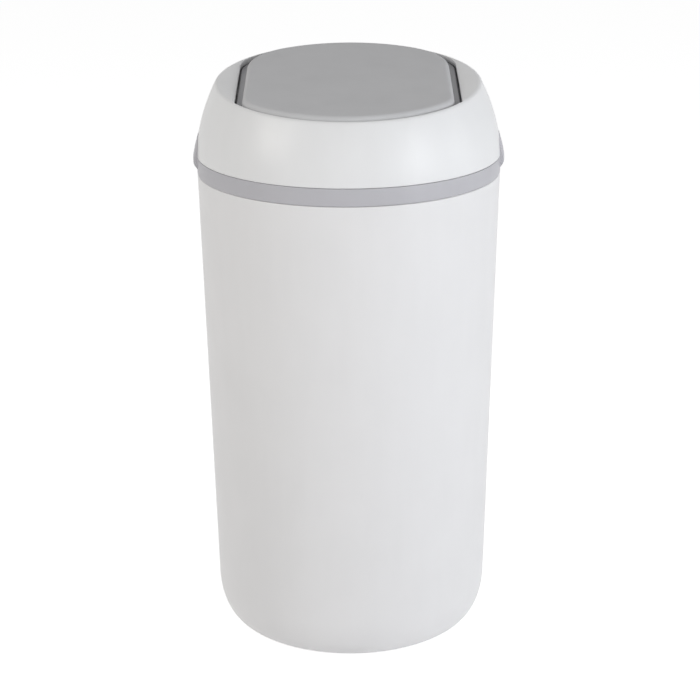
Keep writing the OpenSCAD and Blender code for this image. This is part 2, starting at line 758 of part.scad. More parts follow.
// The tray's plate from w0 to w1, drawn in by the given amount, or grown when it is below 0
module tray_plate(inset, w0, w1) {
    cut_plate(tray_r - inset, tray_half - inset, mouth_corner + 2 * corner_step,
        mouth_back_corner + 2 * corner_step, w0, w1);
}

// A boss at each side of the tray, bored for its pivot pin, with a web up to the tray's plate
module tray_cheek(side) {
    inner = pin_in_u - 2;
    web_h = tray_bottom + flap_wall / 2 + pivot_depth;
    pivot_cyl(side, inner, tray_half, pivot_boss_r);
    at_mouth() translate([side * (inner + tray_half) / 2, 0, web_h / 2 - pivot_depth])
        cube([tray_half - inner - 2, 2 * (pivot_boss_r - 1), web_h], center = true);
}

// The groove in the tray's edge that holds the wiper seal
module seal_slot() {
    mid = (tray_top + tray_bottom) / 2;
    difference() {
        tray_plate(-5, mid - seal_t / 2, mid + seal_t / 2);
        tray_plate(seal_seat, mid - seal_t, mid + seal_t);
    }
}

// A soft lip round the tray that wipes the mouth
module flap_seal() {
    mid = (tray_top + tray_bottom) / 2;
    color(rubber_grey) at_mouth() difference() {
        cut_plate(seal_r, seal_half, mouth_corner + corner_step, mouth_back_corner + corner_step,
            mid - seal_t / 2, mid + seal_t / 2);
        tray_plate(seal_seat, mid - seal_t, mid + seal_t);
    }
}

module flap_screws() {
    color(steel) at_mouth() at_flap_screws() screw(flap_screw_l);
}

// A stepped steel pin that ends in a crank, whose peg carries the spring's leg
module pivot_pin(side) {
    low = crank_peg_z - crank_peg_r - 0.8;
    color(steel) {
        pivot_cyl(side, pin_in_u + 0.5, spring_u - 0.1, pivot_r);
        pivot_cyl(side, spring_u - 0.1 - eps, crank_u + eps, spring_core_r);
        pivot_cyl(side, crank_u, crank_u + crank_t, spring_core_r + 1.4);
        translate([side * (crank_u + crank_t / 2), pivot_y, pivot_z])
            translate([-crank_t / 2, 0, low]) cube([crank_t, crank_peg_y + crank_peg_r + 0.8, -low]);
        translate([0, crank_peg_y, crank_peg_z])
            pivot_cyl(side, crank_u - 2 * spring_wire_r - leg_gap, crank_u + eps, crank_peg_r, 32);
    }
}

module flap_spring(side) {
    points = torsion_points(spring_coil_r, spring_turn, spring_pitch, spring_leg, 0, 1);
    color(steel) translate([side * (spring_u + spring_wire_r), pivot_y, pivot_z])
        mirror([side < 0 ? 1 : 0, 0, 0]) wire(points, spring_wire_r);
}

module flap_bumpers() {
    color(rubber_grey) at_mouth() for (side = both_sides)
        translate([side * bumper_u, bumper_v, bumper_top - bumper_t])
            cylinder(h = bumper_t, r = bumper_r, $fn = 40);
}

// ---------- trap flap ----------

module trap_flap() {
    color(frame_grey) difference() {
        union() {
            translate([0, 0, trap_z]) cylinder(h = trap_t, r = trap_r, $fn = 180);
            trap_ribs();
            for (side = both_sides) translate([side * (knuckle_in + knuckle_out) / 2, 0, 0]) {
                width = knuckle_out - knuckle_in;
                translate([0, trap_pin_y, trap_pin_z]) rotate([0, 90, 0])
                    cylinder(h = width, r = knuckle_r, center = true, $fn = 48);
                translate([-width / 2, trap_r - 12, trap_pin_z - knuckle_r])
                    cube([width, trap_pin_y - trap_r + 12, trap_z + trap_t - trap_pin_z + knuckle_r]);
            }
        }
        translate([0, 0, trap_z + trap_t - trap_groove]) trap_ring(trap_seal_t, 0.1);
        translate([0, trap_pin_y, trap_pin_z]) rotate([0, 90, 0])
            cylinder(h = 4 * knuckle_out, r = trap_pin_r + run_gap, center = true, $fn = 32);
    }
}

// A rim and crossed ribs that stiffen the trap flap from below
module trap_ribs() {
    rim_r = trap_r - trap_rim_inset;
    translate([0, 0, trap_z - trap_rib_h]) {
        tube(trap_rib_h + eps, rim_r - trap_rib_w, rim_r);
        for (angle = [0, 60, 120]) rotate(angle)
            translate([-rim_r + trap_rib_w / 2, -trap_rib_w / 2, 0])
                cube([2 * rim_r - trap_rib_w, trap_rib_w, trap_rib_h + eps]);
    }
}

// The ring of the trap flap's seal, or its groove when grown
module trap_ring(height, grow) {
    tube(height, trap_r - 0.2 - trap_seal_w - grow, trap_r - 0.2 + grow);
}

module trap_seal() {
    color(rubber_grey) translate([0, 0, trap_z + trap_t - trap_groove]) trap_ring(trap_seal_t, 0);
}

module trap_pin() {
    color(steel) translate([0, trap_pin_y, trap_pin_z]) rotate([0, 90, 0])
        cylinder(h = 2 * (knuckle_out + seat_gap + lug_t) + 1, r = trap_pin_r, center = true, $fn = 32);
}

module trap_spring() {
    points = torsion_points(trap_spring_coil_r, trap_spring_turn, trap_spring_pitch,
        trap_spring_leg, 0, -1);
    color(steel) translate([-trap_spring_l / 2, trap_pin_y, trap_pin_z])
        wire(points, trap_spring_wire_r);
}

outer_bucket();
base_pads();
bag_ring();
head_housing();
chute_frame();
frame_screws();
head_gasket();
pivot_bush(-1);  // pivot_bush_left
pivot_bush(1);  // pivot_bush_right
flap_cover();
flap_tray();
flap_seal();
flap_screws();
pivot_pin(-1);  // pivot_pin_left
pivot_pin(1);  // pivot_pin_right
flap_spring(-1);  // flap_spring_left
flap_spring(1);  // flap_spring_right
flap_bumpers();
trap_flap();
trap_seal();
trap_pin();
trap_spring();
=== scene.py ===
"""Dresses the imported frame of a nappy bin: its moulded shells, seals, springs, screws and studio.

Every size is in metres, in the frame of the construction: origin on the floor at the middle of the
base, +Z up, -Y the front. The mouth has a slanted frame of its own: u across, v back, w up.
"""

from __future__ import annotations

import functools
import json
import logging
import math
from dataclasses import dataclass, field
from enum import Enum
from typing import Any, Sequence

import bmesh
import bpy
import numpy as np
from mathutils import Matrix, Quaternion, Vector

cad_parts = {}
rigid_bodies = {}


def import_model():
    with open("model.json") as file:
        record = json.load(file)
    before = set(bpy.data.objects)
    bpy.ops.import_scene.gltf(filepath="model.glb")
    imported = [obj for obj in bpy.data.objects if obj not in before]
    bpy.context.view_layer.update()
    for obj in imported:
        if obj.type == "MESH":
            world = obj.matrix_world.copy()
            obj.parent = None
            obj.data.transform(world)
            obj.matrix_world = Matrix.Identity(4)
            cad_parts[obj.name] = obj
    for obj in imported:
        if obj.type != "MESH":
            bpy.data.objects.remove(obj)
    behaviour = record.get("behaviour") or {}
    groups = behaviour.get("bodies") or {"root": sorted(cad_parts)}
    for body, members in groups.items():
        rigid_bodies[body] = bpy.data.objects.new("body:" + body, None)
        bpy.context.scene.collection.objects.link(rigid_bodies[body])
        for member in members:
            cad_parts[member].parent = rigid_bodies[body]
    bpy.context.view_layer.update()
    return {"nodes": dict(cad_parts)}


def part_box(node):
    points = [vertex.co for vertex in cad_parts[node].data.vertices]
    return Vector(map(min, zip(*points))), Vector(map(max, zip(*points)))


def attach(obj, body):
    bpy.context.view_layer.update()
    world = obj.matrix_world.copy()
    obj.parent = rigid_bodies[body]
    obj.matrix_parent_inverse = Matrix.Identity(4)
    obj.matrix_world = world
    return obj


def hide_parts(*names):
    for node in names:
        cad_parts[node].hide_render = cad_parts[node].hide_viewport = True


LOG = logging.getLogger("nappy_bin")
MM = 0.001
FULL_TURN = 2 * math.pi
SHARP_ANGLE = math.radians(38)
WELD = 2e-6

Point = tuple[float, float]
Corner = tuple[float, float, float]
Tone = tuple[float, float, float]
Colour = tuple[float, float, float, float]
Sockets = dict[str | int, Any]

WHITE: Colour = (1.0, 1.0, 1.0, 1.0)


# ---------------------------------------------------------------- node graphs


class Signal:
    """An output socket that takes part in Python arithmetic."""

    def __init__(self, graph: Graph, socket: bpy.types.NodeSocket) -> None:
        """Keeps the socket and the graph that its node stands in."""
        self.graph = graph
        self.socket = socket

    def __add__(self, other: Term) -> Signal:
        """Sum of the two."""
        return self.graph.math("ADD", self, other)

    def __sub__(self, other: Term) -> Signal:
        """This less the other."""
        return self.graph.math("SUBTRACT", self, other)

    def __rsub__(self, other: Term) -> Signal:
        """The other less this."""
        return self.graph.math("SUBTRACT", other, self)

    def __mul__(self, other: Term) -> Signal:
        """Product of the two."""
        return self.graph.math("MULTIPLY", self, other)

    def __truediv__(self, other: Term) -> Signal:
        """This divided by the other."""
        return self.graph.math("DIVIDE", self, other)

    __radd__ = __add__


Term = Signal | float


class Graph:
    """Adds nodes to one tree, of shaders or of geometry."""

    def __init__(self, tree: bpy.types.NodeTree) -> None:
        """Keeps the tree that the nodes are added to."""
        self.tree = tree

    def node(self, kind: str, sockets: Sockets | None = None, **settings: Any) -> bpy.types.Node:
        """Makes one node.

        Args:
            kind: The node's type.
            sockets: A value or a Signal for each input, by identifier, name or place.
            **settings: Its properties, set before its sockets.

        Returns:
            The node.
        """
        made = self.tree.nodes.new(kind)
        for key, value in settings.items():
            setattr(made, key, value)
        for key, value in (sockets or {}).items():
            target = self._socket(made.inputs, key)
            if isinstance(value, Signal):
                self.tree.links.new(value.socket, target)
            else:
                target.default_value = value
        return made

    def signal(self, kind: str, sockets: Sockets | None = None, output: str | int = 0,
               **settings: Any) -> Signal:
        """Makes one node and gives one of its outputs.

        Args:
            kind: The node's type.
            sockets: Its inputs, as for node.
            output: The output's identifier, name or place.
            **settings: Its properties.

        Returns:
            The output.
        """
        return self.out(self.node(kind, sockets, **settings), output)

    def out(self, node: bpy.types.Node, key: str | int) -> Signal:
        """A node's output, by identifier, name or place."""
        return Signal(self, self._socket(node.outputs, key))

    def math(self, operation: str, *terms: Term) -> Signal:
        """A Math node's result on numbers or signals, in their order."""
        return self.signal("ShaderNodeMath", dict(enumerate(terms)), operation=operation)

    def steps(self, value: Term, low: float, high: float) -> Signal:
        """A smooth rise.

        Args:
            value: What is tested.
            low: Where the rise starts.
            high: Where it ends.

        Returns:
            The rise as a number from 0 to 1.
        """
        return self.signal("ShaderNodeMapRange",
                           {"Value": value, "From Min": low, "From Max": high}, "Result",
                           interpolation_type="SMOOTHSTEP")

    def seen(self) -> Signal:
        """Tells the rays that show the studio itself from those that light the object.

        Returns:
            1 for camera, glossy and transmission rays, and 0 for all others.
        """
        path = self.node("ShaderNodeLightPath")
        bent = self.math("MAXIMUM", self.out(path, "Is Glossy Ray"),
                         self.out(path, "Is Transmission Ray"))
        return self.math("MAXIMUM", self.out(path, "Is Camera Ray"), bent)

    @staticmethod
    def _socket(sockets: Any, key: str | int) -> bpy.types.NodeSocket:
        """Finds a socket.

        Args:
            sockets: A node's inputs or outputs.
            key: The socket's identifier, or else its name or place.

        Returns:
            The socket.
        """
        for socket in sockets:
            if socket.identifier == key:
                return socket
        return sockets[key]


def linear(tone: Tone, factor: float = 1.0, lift: float = 0.0) -> Colour:
    """Turns a tone of 0 to 255 for each channel, as a screen shows it, into a shader's colour.

    Args:
        tone: Red, green and blue as shown on a screen.
        factor: What each is multiplied by first.
        lift: What is then added to each.

    Returns:
        Linear red, green and blue, and full alpha.
    """
    values = [min(255.0, level * factor + lift) / 255.0 for level in tone]
    parts = [v / 12.92 if v <= 0.04045 else ((v + 0.055) / 1.055) ** 2.4 for v in values]
    return (parts[0], parts[1], parts[2], 1.0)


def scaled(colour: Colour, factor: float) -> Colour:
    """The same shader colour at another strength."""
    return (colour[0] * factor, colour[1] * factor, colour[2] * factor, 1.0)


class ShaderGraph(Graph):
    """A material's graph."""

    def __init__(self, name: str) -> None:
        """Makes an empty material.

        Args:
            name: The material's name.
        """
        self.material = bpy.data.materials.new(name)
        self.material.use_nodes = True
        super().__init__(self.material.node_tree)
        self.tree.nodes.clear()
        self.coordinates = self.signal("ShaderNodeTexCoord", output="Object")

    def noise(self, size: float, detail: float = 2.0, rough: float = 0.5,
              along: Signal | None = None) -> Signal:
        """Cloudy noise.

        Args:
            size: The size of its largest clouds.
            detail: How many finer layers it has.
            rough: How strong they are.
            along: The coordinates that it reads, or the object's own.

        Returns:
            Levels round 0.5.
        """
        return self.signal("ShaderNodeTexNoise", {
            "Vector": along or self.coordinates, "Scale": 1.0 / size, "Detail": detail,
            "Roughness": rough}, "Fac")

    def pits(self, size: float) -> Signal:
        """Distance to the nearest of many scattered points, at a mean spacing."""
        return self.signal("ShaderNodeTexVoronoi",
                           {"Vector": self.coordinates, "Scale": 1.0 / size}, "Distance")

    def stretched(self, factors: tuple[float, float, float]) -> Signal:
        """The object's coordinates, each multiplied by its factor."""
        return self.signal("ShaderNodeVectorMath", {0: self.coordinates, 1: factors},
                           operation="MULTIPLY")

    def blend(self, factor: Term, first: Any, second: Any) -> Signal:
        """Mixes two colours.

        Args:
            factor: 0 for the first and 1 for the second.
            first: A colour or a signal.
            second: A colour or a signal.

        Returns:
            The mixed colour.
        """
        return self.signal("ShaderNodeMix",
                           {"Factor_Float": factor, "A_Color": first, "B_Color": second},
                           "Result_Color", data_type="RGBA")

    def bump(self, height: Signal, depth: float, below: Signal | None = None) -> Signal:
        """Turns a height into a normal.

        Args:
            height: Levels from 0 to 1.
            depth: How deep a level of 1 is.
            below: A normal that this one adds to.

        Returns:
            The normal.
        """
        sockets: Sockets = {"Height": height, "Strength": 1.0, "Distance": depth}
        if below is not None:
            sockets["Normal"] = below
        return self.signal("ShaderNodeBump", sockets, "Normal")

    def close(self, surface: Signal) -> bpy.types.Material:
        """Ends the graph with a shader and gives its material."""
        self.node("ShaderNodeOutputMaterial", {"Surface": surface})
        return self.material

    def finish(self, sockets: Sockets) -> bpy.types.Material:
        """Ends the graph with a Principled shader that has these inputs, and gives its material."""
        return self.close(self.signal("ShaderNodeBsdfPrincipled", sockets))


# ---------------------------------------------------------------- finishes


@dataclass(frozen=True)
class MouldedPlastic:
    """Polypropylene from a spark-eroded mould: a fine grain, and a tone that drifts a little."""

    name: str
    tone: Tone
    roughness: float = 0.42
    drift: float = 0.02
    grain: float = 0.55 * MM
    grain_depth: float = 0.018 * MM
    cloud: float = 62 * MM
    flow: float = 16 * MM
    flow_stretch: tuple[float, float, float] = (1.0, 1.0, 0.18)
    speck: float = 1.6 * MM
    handling: float = 34 * MM
    sink: float = 48 * MM
    sink_depth: float = 0.12 * MM
    drift_range: Point = (0.32, 0.72)
    drift_tone: float = 0.75
    speck_range: Point = (0.58, 0.72)
    speck_tone: float = 0.12
    speck_gloss: float = 0.05
    handled_range: Point = (0.45, 0.7)
    handled_dull: float = 0.07
    ior: float = 1.49

    def build(self) -> bpy.types.Material:
        """Makes the material.

        Returns:
            The material.
        """
        graph = ShaderGraph(self.name)
        light = linear(self.tone)
        shade = scaled(light, 1.0 - 4 * self.drift)
        clouds = graph.noise(self.cloud, 3.0)
        flow = graph.noise(self.flow, along=graph.stretched(self.flow_stretch))
        specks = graph.steps(graph.noise(self.speck), *self.speck_range)
        drifted = graph.steps(clouds * 0.6 + flow * 0.4, *self.drift_range)
        handled = graph.steps(graph.noise(self.handling, 4.0, 0.6), *self.handled_range)
        grain = graph.noise(self.grain, 2.0, 0.55) * 0.7 + graph.pits(self.grain * 1.7) * 0.3
        sunk = graph.bump(graph.noise(self.sink, 1.0), self.sink_depth)
        return graph.finish({
            "Base Color": graph.blend(drifted * self.drift_tone + specks * self.speck_tone,
                                      light, shade),
            "Roughness": (self.roughness + handled * self.handled_dull
                          - specks * self.speck_gloss),
            "Normal": graph.bump(grain, self.grain_depth, sunk),
            "IOR": self.ior,
        })


@dataclass(frozen=True)
class Elastomer:
    """Soft seal rubber: dull, with mould bloom and fine draw lines."""

    name: str
    tone: Tone
    roughness: float = 0.68
    bloom: float = 9 * MM
    bloom_range: Point = (0.42, 0.74)
    bloom_tone: float = 0.55
    bloom_dull: float = 0.12
    bloom_light: Point = (1.28, 8.0)
    pore: float = 0.7 * MM
    pore_depth: float = 0.02 * MM
    ridge: float = 1.1 * MM
    ridge_stretch: tuple[float, float, float] = (0.25, 0.25, 3.0)
    ridge_depth: float = 0.03 * MM
    ior: float = 1.52
    sheen: float = 0.08

    def build(self) -> bpy.types.Material:
        """Makes the material.

        Returns:
            The material.
        """
        graph = ShaderGraph(self.name)
        cloud = graph.steps(graph.noise(self.bloom, 4.0, 0.62), *self.bloom_range)
        ridges = graph.noise(self.ridge, along=graph.stretched(self.ridge_stretch))
        ridged = graph.bump(ridges, self.ridge_depth)
        return graph.finish({
            "Base Color": graph.blend(cloud * self.bloom_tone, linear(self.tone),
                                      linear(self.tone, *self.bloom_light)),
            "Roughness": self.roughness + cloud * self.bloom_dull,
            "Normal": graph.bump(graph.pits(self.pore), self.pore_depth, ridged),
            "IOR": self.ior,
            "Sheen Weight": self.sheen,
        })


class Drawn(Enum):
    """Which way a metal's working lines run."""

    ROUND = (1.0, 1.0, 1.0)
    ALONG_X = (0.08, 1.0, 1.0)


@dataclass(frozen=True)
class Steel:
    """Plated or drawn steel: bright, with working lines and dull patches."""

    name: str
    tone: Tone
    roughness: float
    lines: Drawn = Drawn.ROUND
    metal: float = 0.96
    patch: float = 3.2 * MM
    patch_range: Point = (0.4, 0.72)
    patch_tone: float = 0.7
    patch_dull: float = 0.16
    patch_metal: float = 0.14
    dark: float = 0.74
    line: float = 0.24 * MM
    line_depth: float = 0.008 * MM
    line_tone: float = 0.2
    line_dull: float = 0.08

    def build(self) -> bpy.types.Material:
        """Makes the material.

        Returns:
            The material.
        """
        graph = ShaderGraph(self.name)
        patches = graph.steps(graph.noise(self.patch, 4.0, 0.6), *self.patch_range)
        lines = graph.noise(self.line, 3.0, along=graph.stretched(self.lines.value))
        return graph.finish({
            "Base Color": graph.blend(patches * self.patch_tone + lines * self.line_tone,
                                      linear(self.tone), linear(self.tone, self.dark)),
            "Metallic": self.metal - patches * self.patch_metal,
            "Roughness": self.roughness + patches * self.patch_dull + lines * self.line_dull,
            "Normal": graph.bump(lines, self.line_depth),
        })


@dataclass(frozen=True)
class StudioFloor:
    """A matt pale floor that looks white from the camera and keeps the object's shadow."""

    name: str = "studio_floor"
    level: float = 0.8
    fleck: float = 1.03
    fibre: float = 8 * MM
    lift: float = 0.7

    def build(self) -> bpy.types.Material:
        """Makes the material.

        Returns:
            The material.
        """
        graph = ShaderGraph(self.name)
        plain = scaled(WHITE, self.level)
        paper = graph.blend(graph.noise(self.fibre, 3.0), plain, scaled(plain, self.fleck))
        diffuse = graph.signal("ShaderNodeBsdfDiffuse", {"Color": paper})
        glow = graph.signal("ShaderNodeEmission",
                            {"Color": WHITE, "Strength": graph.seen() * self.lift})
        return graph.close(graph.signal("ShaderNodeAddShader", {0: diffuse, 1: glow}))


class Finish(Enum):
    """The bin's finishes."""

    BUCKET = MouldedPlastic("moulded_bucket", (232, 231, 232), 0.40, drift=0.008)
    HEAD = MouldedPlastic("moulded_head", (233, 233, 234), 0.36, drift=0.008)
    LID = MouldedPlastic("moulded_lid", (205, 205, 207), 0.62, drift=0.012)
    RING = MouldedPlastic("moulded_ring", (186, 185, 190), 0.42, drift=0.012)
    CHUTE = MouldedPlastic("moulded_chute", (150, 150, 153), 0.5)
    BUSH = MouldedPlastic("turned_acetal", (226, 225, 219), 0.28, grain_depth=0.004 * MM)
    SEAL = Elastomer("seal_rubber", (78, 78, 82))
    GRIP = Elastomer("grip_rubber", (58, 58, 61), 0.78)
    SCREW = Steel("zinc_screw", (196, 199, 204), 0.3)
    PIN = Steel("turned_pin", (190, 192, 196), 0.26, Drawn.ALONG_X)
    SPRING = Steel("spring_wire", (170, 173, 179), 0.32)

    @functools.cache
    def material(self) -> bpy.types.Material:
        """The finish's material, made once."""
        return self.value.build()


# ---------------------------------------------------------------- sizes and outlines


@dataclass(frozen=True)
class Sizes:
    """Driving dimensions of the bin."""

    bucket_h: float = 415 * MM
    rim_r: float = 131 * MM
    foot_r: float = 120.5 * MM
    pad_proud: float = 0.8 * MM
    seat_gap: float = 0.3 * MM
    band_h: float = 14.7 * MM
    dome_h: float = 78 * MM
    dome_drop: float = 25.7 * MM
    dome_power: float = 1.85
    mouth_rise: float = 63.9 * MM
    mouth_y: float = -6.5 * MM
    mouth_tilt: float = math.radians(6)
    mouth_r: float = 111.5 * MM
    mouth_half: float = 94.3 * MM
    mouth_front: float = 6 * MM
    mouth_back: float = 42 * MM
    pivot_depth: float = 11 * MM

    @property
    def ring_z(self) -> float:
        """Height of the ring's underside."""
        return self.bucket_h + self.seat_gap

    @property
    def ring_top(self) -> float:
        """Height of the band's top."""
        return self.ring_z + self.band_h

    @property
    def head_z(self) -> float:
        """Height of the head's base."""
        return self.ring_top + self.seat_gap

    @property
    def mouth_z(self) -> float:
        """Height of the middle of the mouth."""
        return self.head_z + self.mouth_rise

    def dome_radius(self, z: np.ndarray) -> np.ndarray:
        """Radius of the dome's outside at heights above the floor."""
        rise = np.maximum(0.0, z - self.head_z) / self.dome_h
        return self.rim_r - self.dome_drop * rise ** self.dome_power

    def slanted(self, u: Any, v: Any, w: Any) -> np.ndarray:
        """Places points of the mouth's slanted frame in the world.

        Args:
            u: Across.
            v: Towards the back, along the slope.
            w: Upwards, square to the slope.

        Returns:
            An array whose last axis is x, y, z.
        """
        u, v, w = np.broadcast_arrays(u, v, w)
        cos, sin = math.cos(self.mouth_tilt), math.sin(self.mouth_tilt)
        return np.stack([u, self.mouth_y + v * cos - w * sin, self.mouth_z + v * sin + w * cos], -1)

    def row(self, angle: np.ndarray, reach: Any, w: Any) -> np.ndarray:
        """Places a row of points round the mouth's axis in the world.

        Args:
            angle: Their angles from the u axis.
            reach: Their distances from the mouth's axis.
            w: Their slanted heights.

        Returns:
            An array whose last axis is x, y, z.
        """
        return self.slanted(reach * np.cos(angle), reach * np.sin(angle), w)


@dataclass(frozen=True)
class CutCircle:
    """A circle cut off by two straight sides, its corners rounded, as a polar outline."""

    r: float
    half: float
    front: float
    back: float
    spare: float = 0.35

    def radius(self, angle: np.ndarray) -> np.ndarray:
        """Distance from the middle to the outline.

        Args:
            angle: Angles from the u axis.

        Returns:
            The distances.
        """
        cos, sin = np.abs(np.cos(angle)), np.abs(np.sin(angle))
        turn = np.arctan2(sin, cos)
        straight = self.half / np.maximum(cos, 1e-6)
        halves = []
        for corner in (self.front, self.back):
            cx, cy, start, stop = self._corner(corner)
            along = cx * cos + cy * sin
            rounded = along + np.sqrt(np.maximum(0, along**2 - cx**2 - cy**2 + corner**2))
            halves.append(np.where(turn < start, straight, np.where(turn < stop, rounded, self.r)))
        return np.where(np.sin(angle) < 0, halves[0], halves[1])

    def angles(self, around: int, in_corner: int) -> np.ndarray:
        """Angles for a loop of points, closer together round the corners.

        Args:
            around: How many are spread evenly.
            in_corner: How many more each corner gets.

        Returns:
            Rising angles from 0 to less than a full turn.
        """
        runs = [np.arange(around) * FULL_TURN / around]
        for corner, turn in ((self.back, 0.0), (self.front, math.pi)):
            _, _, start, stop = self._corner(corner)
            spare = (stop - start) * self.spare
            close = np.linspace(start - spare, stop + spare, in_corner)
            runs += [turn + close, turn + math.pi - close]
        return np.unique(np.round(np.concatenate(runs), 5))

    def _corner(self, corner: float) -> tuple[float, float, float, float]:
        """Centre of a corner's round, and the angles where it starts and ends.

        Args:
            corner: The round's radius.

        Returns:
            The centre's place across and back, and the two angles.
        """
        cx = self.half - corner
        cy = math.sqrt((self.r - corner) ** 2 - cx**2)
        return cx, cy, math.atan2(cy, self.half), math.atan2(cy, cx)


def arc(centre: Point, radii: Point, start: float, stop: float, steps: int) -> list[Point]:
    """Points along an elliptic arc.

    Args:
        centre: Its centre.
        radii: Its two radii.
        start: First angle, in degrees.
        stop: Last angle, in degrees.
        steps: Number of steps between them.

    Returns:
        The points.
    """
    turns = np.radians(np.linspace(start, stop, steps + 1))
    return [(centre[0] + radii[0] * math.cos(t), centre[1] + radii[1] * math.sin(t)) for t in turns]


def soften(corners: Sequence[Corner], closed: bool = True, steps: int = 5,
           most: float = 0.48) -> list[Point]:
    """Rounds the corners of an outline.

    Args:
        corners: Each corner's place and the reach of its round, along both of its sides.
        closed: Whether the last corner joins the first.
        steps: Steps in each round.
        most: The largest share of a side that a round may take.

    Returns:
        The rounded outline.
    """
    made: list[Point] = []
    count = len(corners)
    for i, (x, y, reach) in enumerate(corners):
        at_end = not closed and i in (0, count - 1)
        if reach <= 0 or at_end:
            made.append((x, y))
            continue
        here = Vector((x, y))
        sides = []
        for j in (i - 1, (i + 1) % count):
            side = Vector(corners[j][:2]) - here
            sides.append(here + side * min(reach / side.length, most))
        for k in range(steps + 1):
            t = k / steps
            spot = sides[0] * (1 - t) ** 2 + here * (2 * t * (1 - t)) + sides[1] * t**2
            made.append((spot.x, spot.y))
    return made


# ---------------------------------------------------------------- meshes


def new_object(name: str, data: bpy.types.ID) -> bpy.types.Object:
    """Puts a mesh, a lamp or a camera in the scene.

    Args:
        name: The object's name.
        data: What it shows.

    Returns:
        The object, at the origin.
    """
    made = bpy.data.objects.new(name, data)
    bpy.context.scene.collection.objects.link(made)
    return made


def tidy_mesh(mesh: bpy.types.Mesh) -> None:
    """Welds doubles, turns the faces outwards and shades by angle.

    Args:
        mesh: The mesh, which is changed.
    """
    work = bmesh.new()
    work.from_mesh(mesh)
    bmesh.ops.remove_doubles(work, verts=work.verts, dist=WELD)
    bmesh.ops.dissolve_degenerate(work, dist=WELD / 2, edges=work.edges)
    bmesh.ops.recalc_face_normals(work, faces=work.faces)
    work.to_mesh(mesh)
    work.free()
    mesh.shade_smooth()
    mesh.set_sharp_from_angle(angle=SHARP_ANGLE)


def loft(name: str, rows: Sequence[np.ndarray], ends: bool = False,
         close_rows: bool = False) -> bpy.types.Object:
    """Skins closed rows of points with four-sided faces.

    Args:
        name: The object's name.
        rows: Rows with as many points each.
        ends: Whether the first and last rows are filled.
        close_rows: Whether the last row joins the first.

    Returns:
        The object.
    """
    stack = np.stack(rows)
    count, wide = stack.shape[:2]
    faces = []
    for i in range(count if close_rows else count - 1):
        for j in range(wide):
            low, high = i * wide, ((i + 1) % count) * wide
            beside = (j + 1) % wide
            faces.append((low + j, low + beside, high + beside, high + j))
    if ends:
        faces.append(tuple(range(wide)))
        faces.append(tuple(range((count - 1) * wide, count * wide)))
    mesh = bpy.data.meshes.new(name)
    mesh.from_pydata(stack.reshape(-1, 3).tolist(), [], faces)
    tidy_mesh(mesh)
    return new_object(name, mesh)


def tube(name: str, path: np.ndarray, radius: float, sides: int = 10) -> bpy.types.Object:
    """A round wire along a path, with closed ends.

    Args:
        name: The object's name.
        path: Points along the wire's middle.
        radius: The wire's radius.
        sides: Points round the wire.

    Returns:
        The object.
    """
    heading = np.gradient(path, axis=0)
    heading /= np.linalg.norm(heading, axis=1, keepdims=True)
    side = np.cross(heading, np.array([1.0, 0.0, 0.0]))
    side /= np.linalg.norm(side, axis=1, keepdims=True)
    up = np.cross(heading, side)
    turns = np.arange(sides) * FULL_TURN / sides
    rows = [p + radius * (np.outer(np.cos(turns), s) + np.outer(np.sin(turns), u))
            for p, s, u in zip(path, side, up)]
    return loft(name, rows, ends=True)


def bake(thing: bpy.types.Object) -> bpy.types.Object:
    """Turns an object's modifiers into its plain mesh.

    Args:
        thing: The object, which is changed.

    Returns:
        The same object.
    """
    bpy.context.view_layer.update()
    ready = thing.evaluated_get(bpy.context.evaluated_depsgraph_get())
    mesh = bpy.data.meshes.new_from_object(ready)
    thing.modifiers.clear()
    old = thing.data
    thing.data = mesh
    bpy.data.meshes.remove(old)
    mesh.name = thing.name
    tidy_mesh(mesh)
    return thing


class GeometryRule:
    """A Geometry Nodes tree whose named inputs drive one kind of repeated or swept piece."""

    def __init__(self, name: str, inputs: dict[str, str]) -> None:
        """Makes an empty tree.

        Args:
            name: The tree's name.
            inputs: Kind of each named input after the geometry: Float, Int or Vector.
        """
        self.tree = bpy.data.node_groups.new(name, "GeometryNodeTree")
        self.graph = Graph(self.tree)
        self.identifiers: dict[str, str] = {}
        for label, kind in {"Geometry": "Geometry", **inputs, "Material": "Material"}.items():
            self.identifiers[label] = self._new_socket(label, "INPUT", kind)
        self._new_socket("Geometry", "OUTPUT", "Geometry")
        self.group_input = self.graph.node("NodeGroupInput")

    def _new_socket(self, label: str, way: str, kind: str) -> str:
        """Adds one input or output to the tree and gives its identifier."""
        return self.tree.interface.new_socket(
            name=label, in_out=way, socket_type=f"NodeSocket{kind}").identifier

    def given(self, label: str) -> Signal:
        """One of the tree's inputs."""
        return self.graph.out(self.group_input, label)

    def close(self, geometry: Signal) -> GeometryRule:
        """Ends the tree with real geometry in the given material.

        Args:
            geometry: What the tree made.

        Returns:
            The finished rule.
        """
        real = self.graph.signal("GeometryNodeRealizeInstances", {"Geometry": geometry})
        painted = self.graph.signal("GeometryNodeSetMaterial",
                                    {"Geometry": real, "Material": self.given("Material")})
        self.graph.node("NodeGroupOutput", {"Geometry": painted})
        return self

    def apply(self, thing: bpy.types.Object, finish: Finish,
              values: dict[str, Any]) -> bpy.types.Object:
        """Runs the tree on an object and keeps its result as a plain mesh.

        Args:
            thing: The object, which is changed.
            finish: The finish of the result.
            values: A value for each other named input.

        Returns:
            The same object.
        """
        modifier = thing.modifiers.new(self.tree.name, "NODES")
        modifier.node_group = self.tree
        for label, value in {**values, "Material": finish.material()}.items():
            modifier[self.identifiers[label]] = value
        return bake(thing)


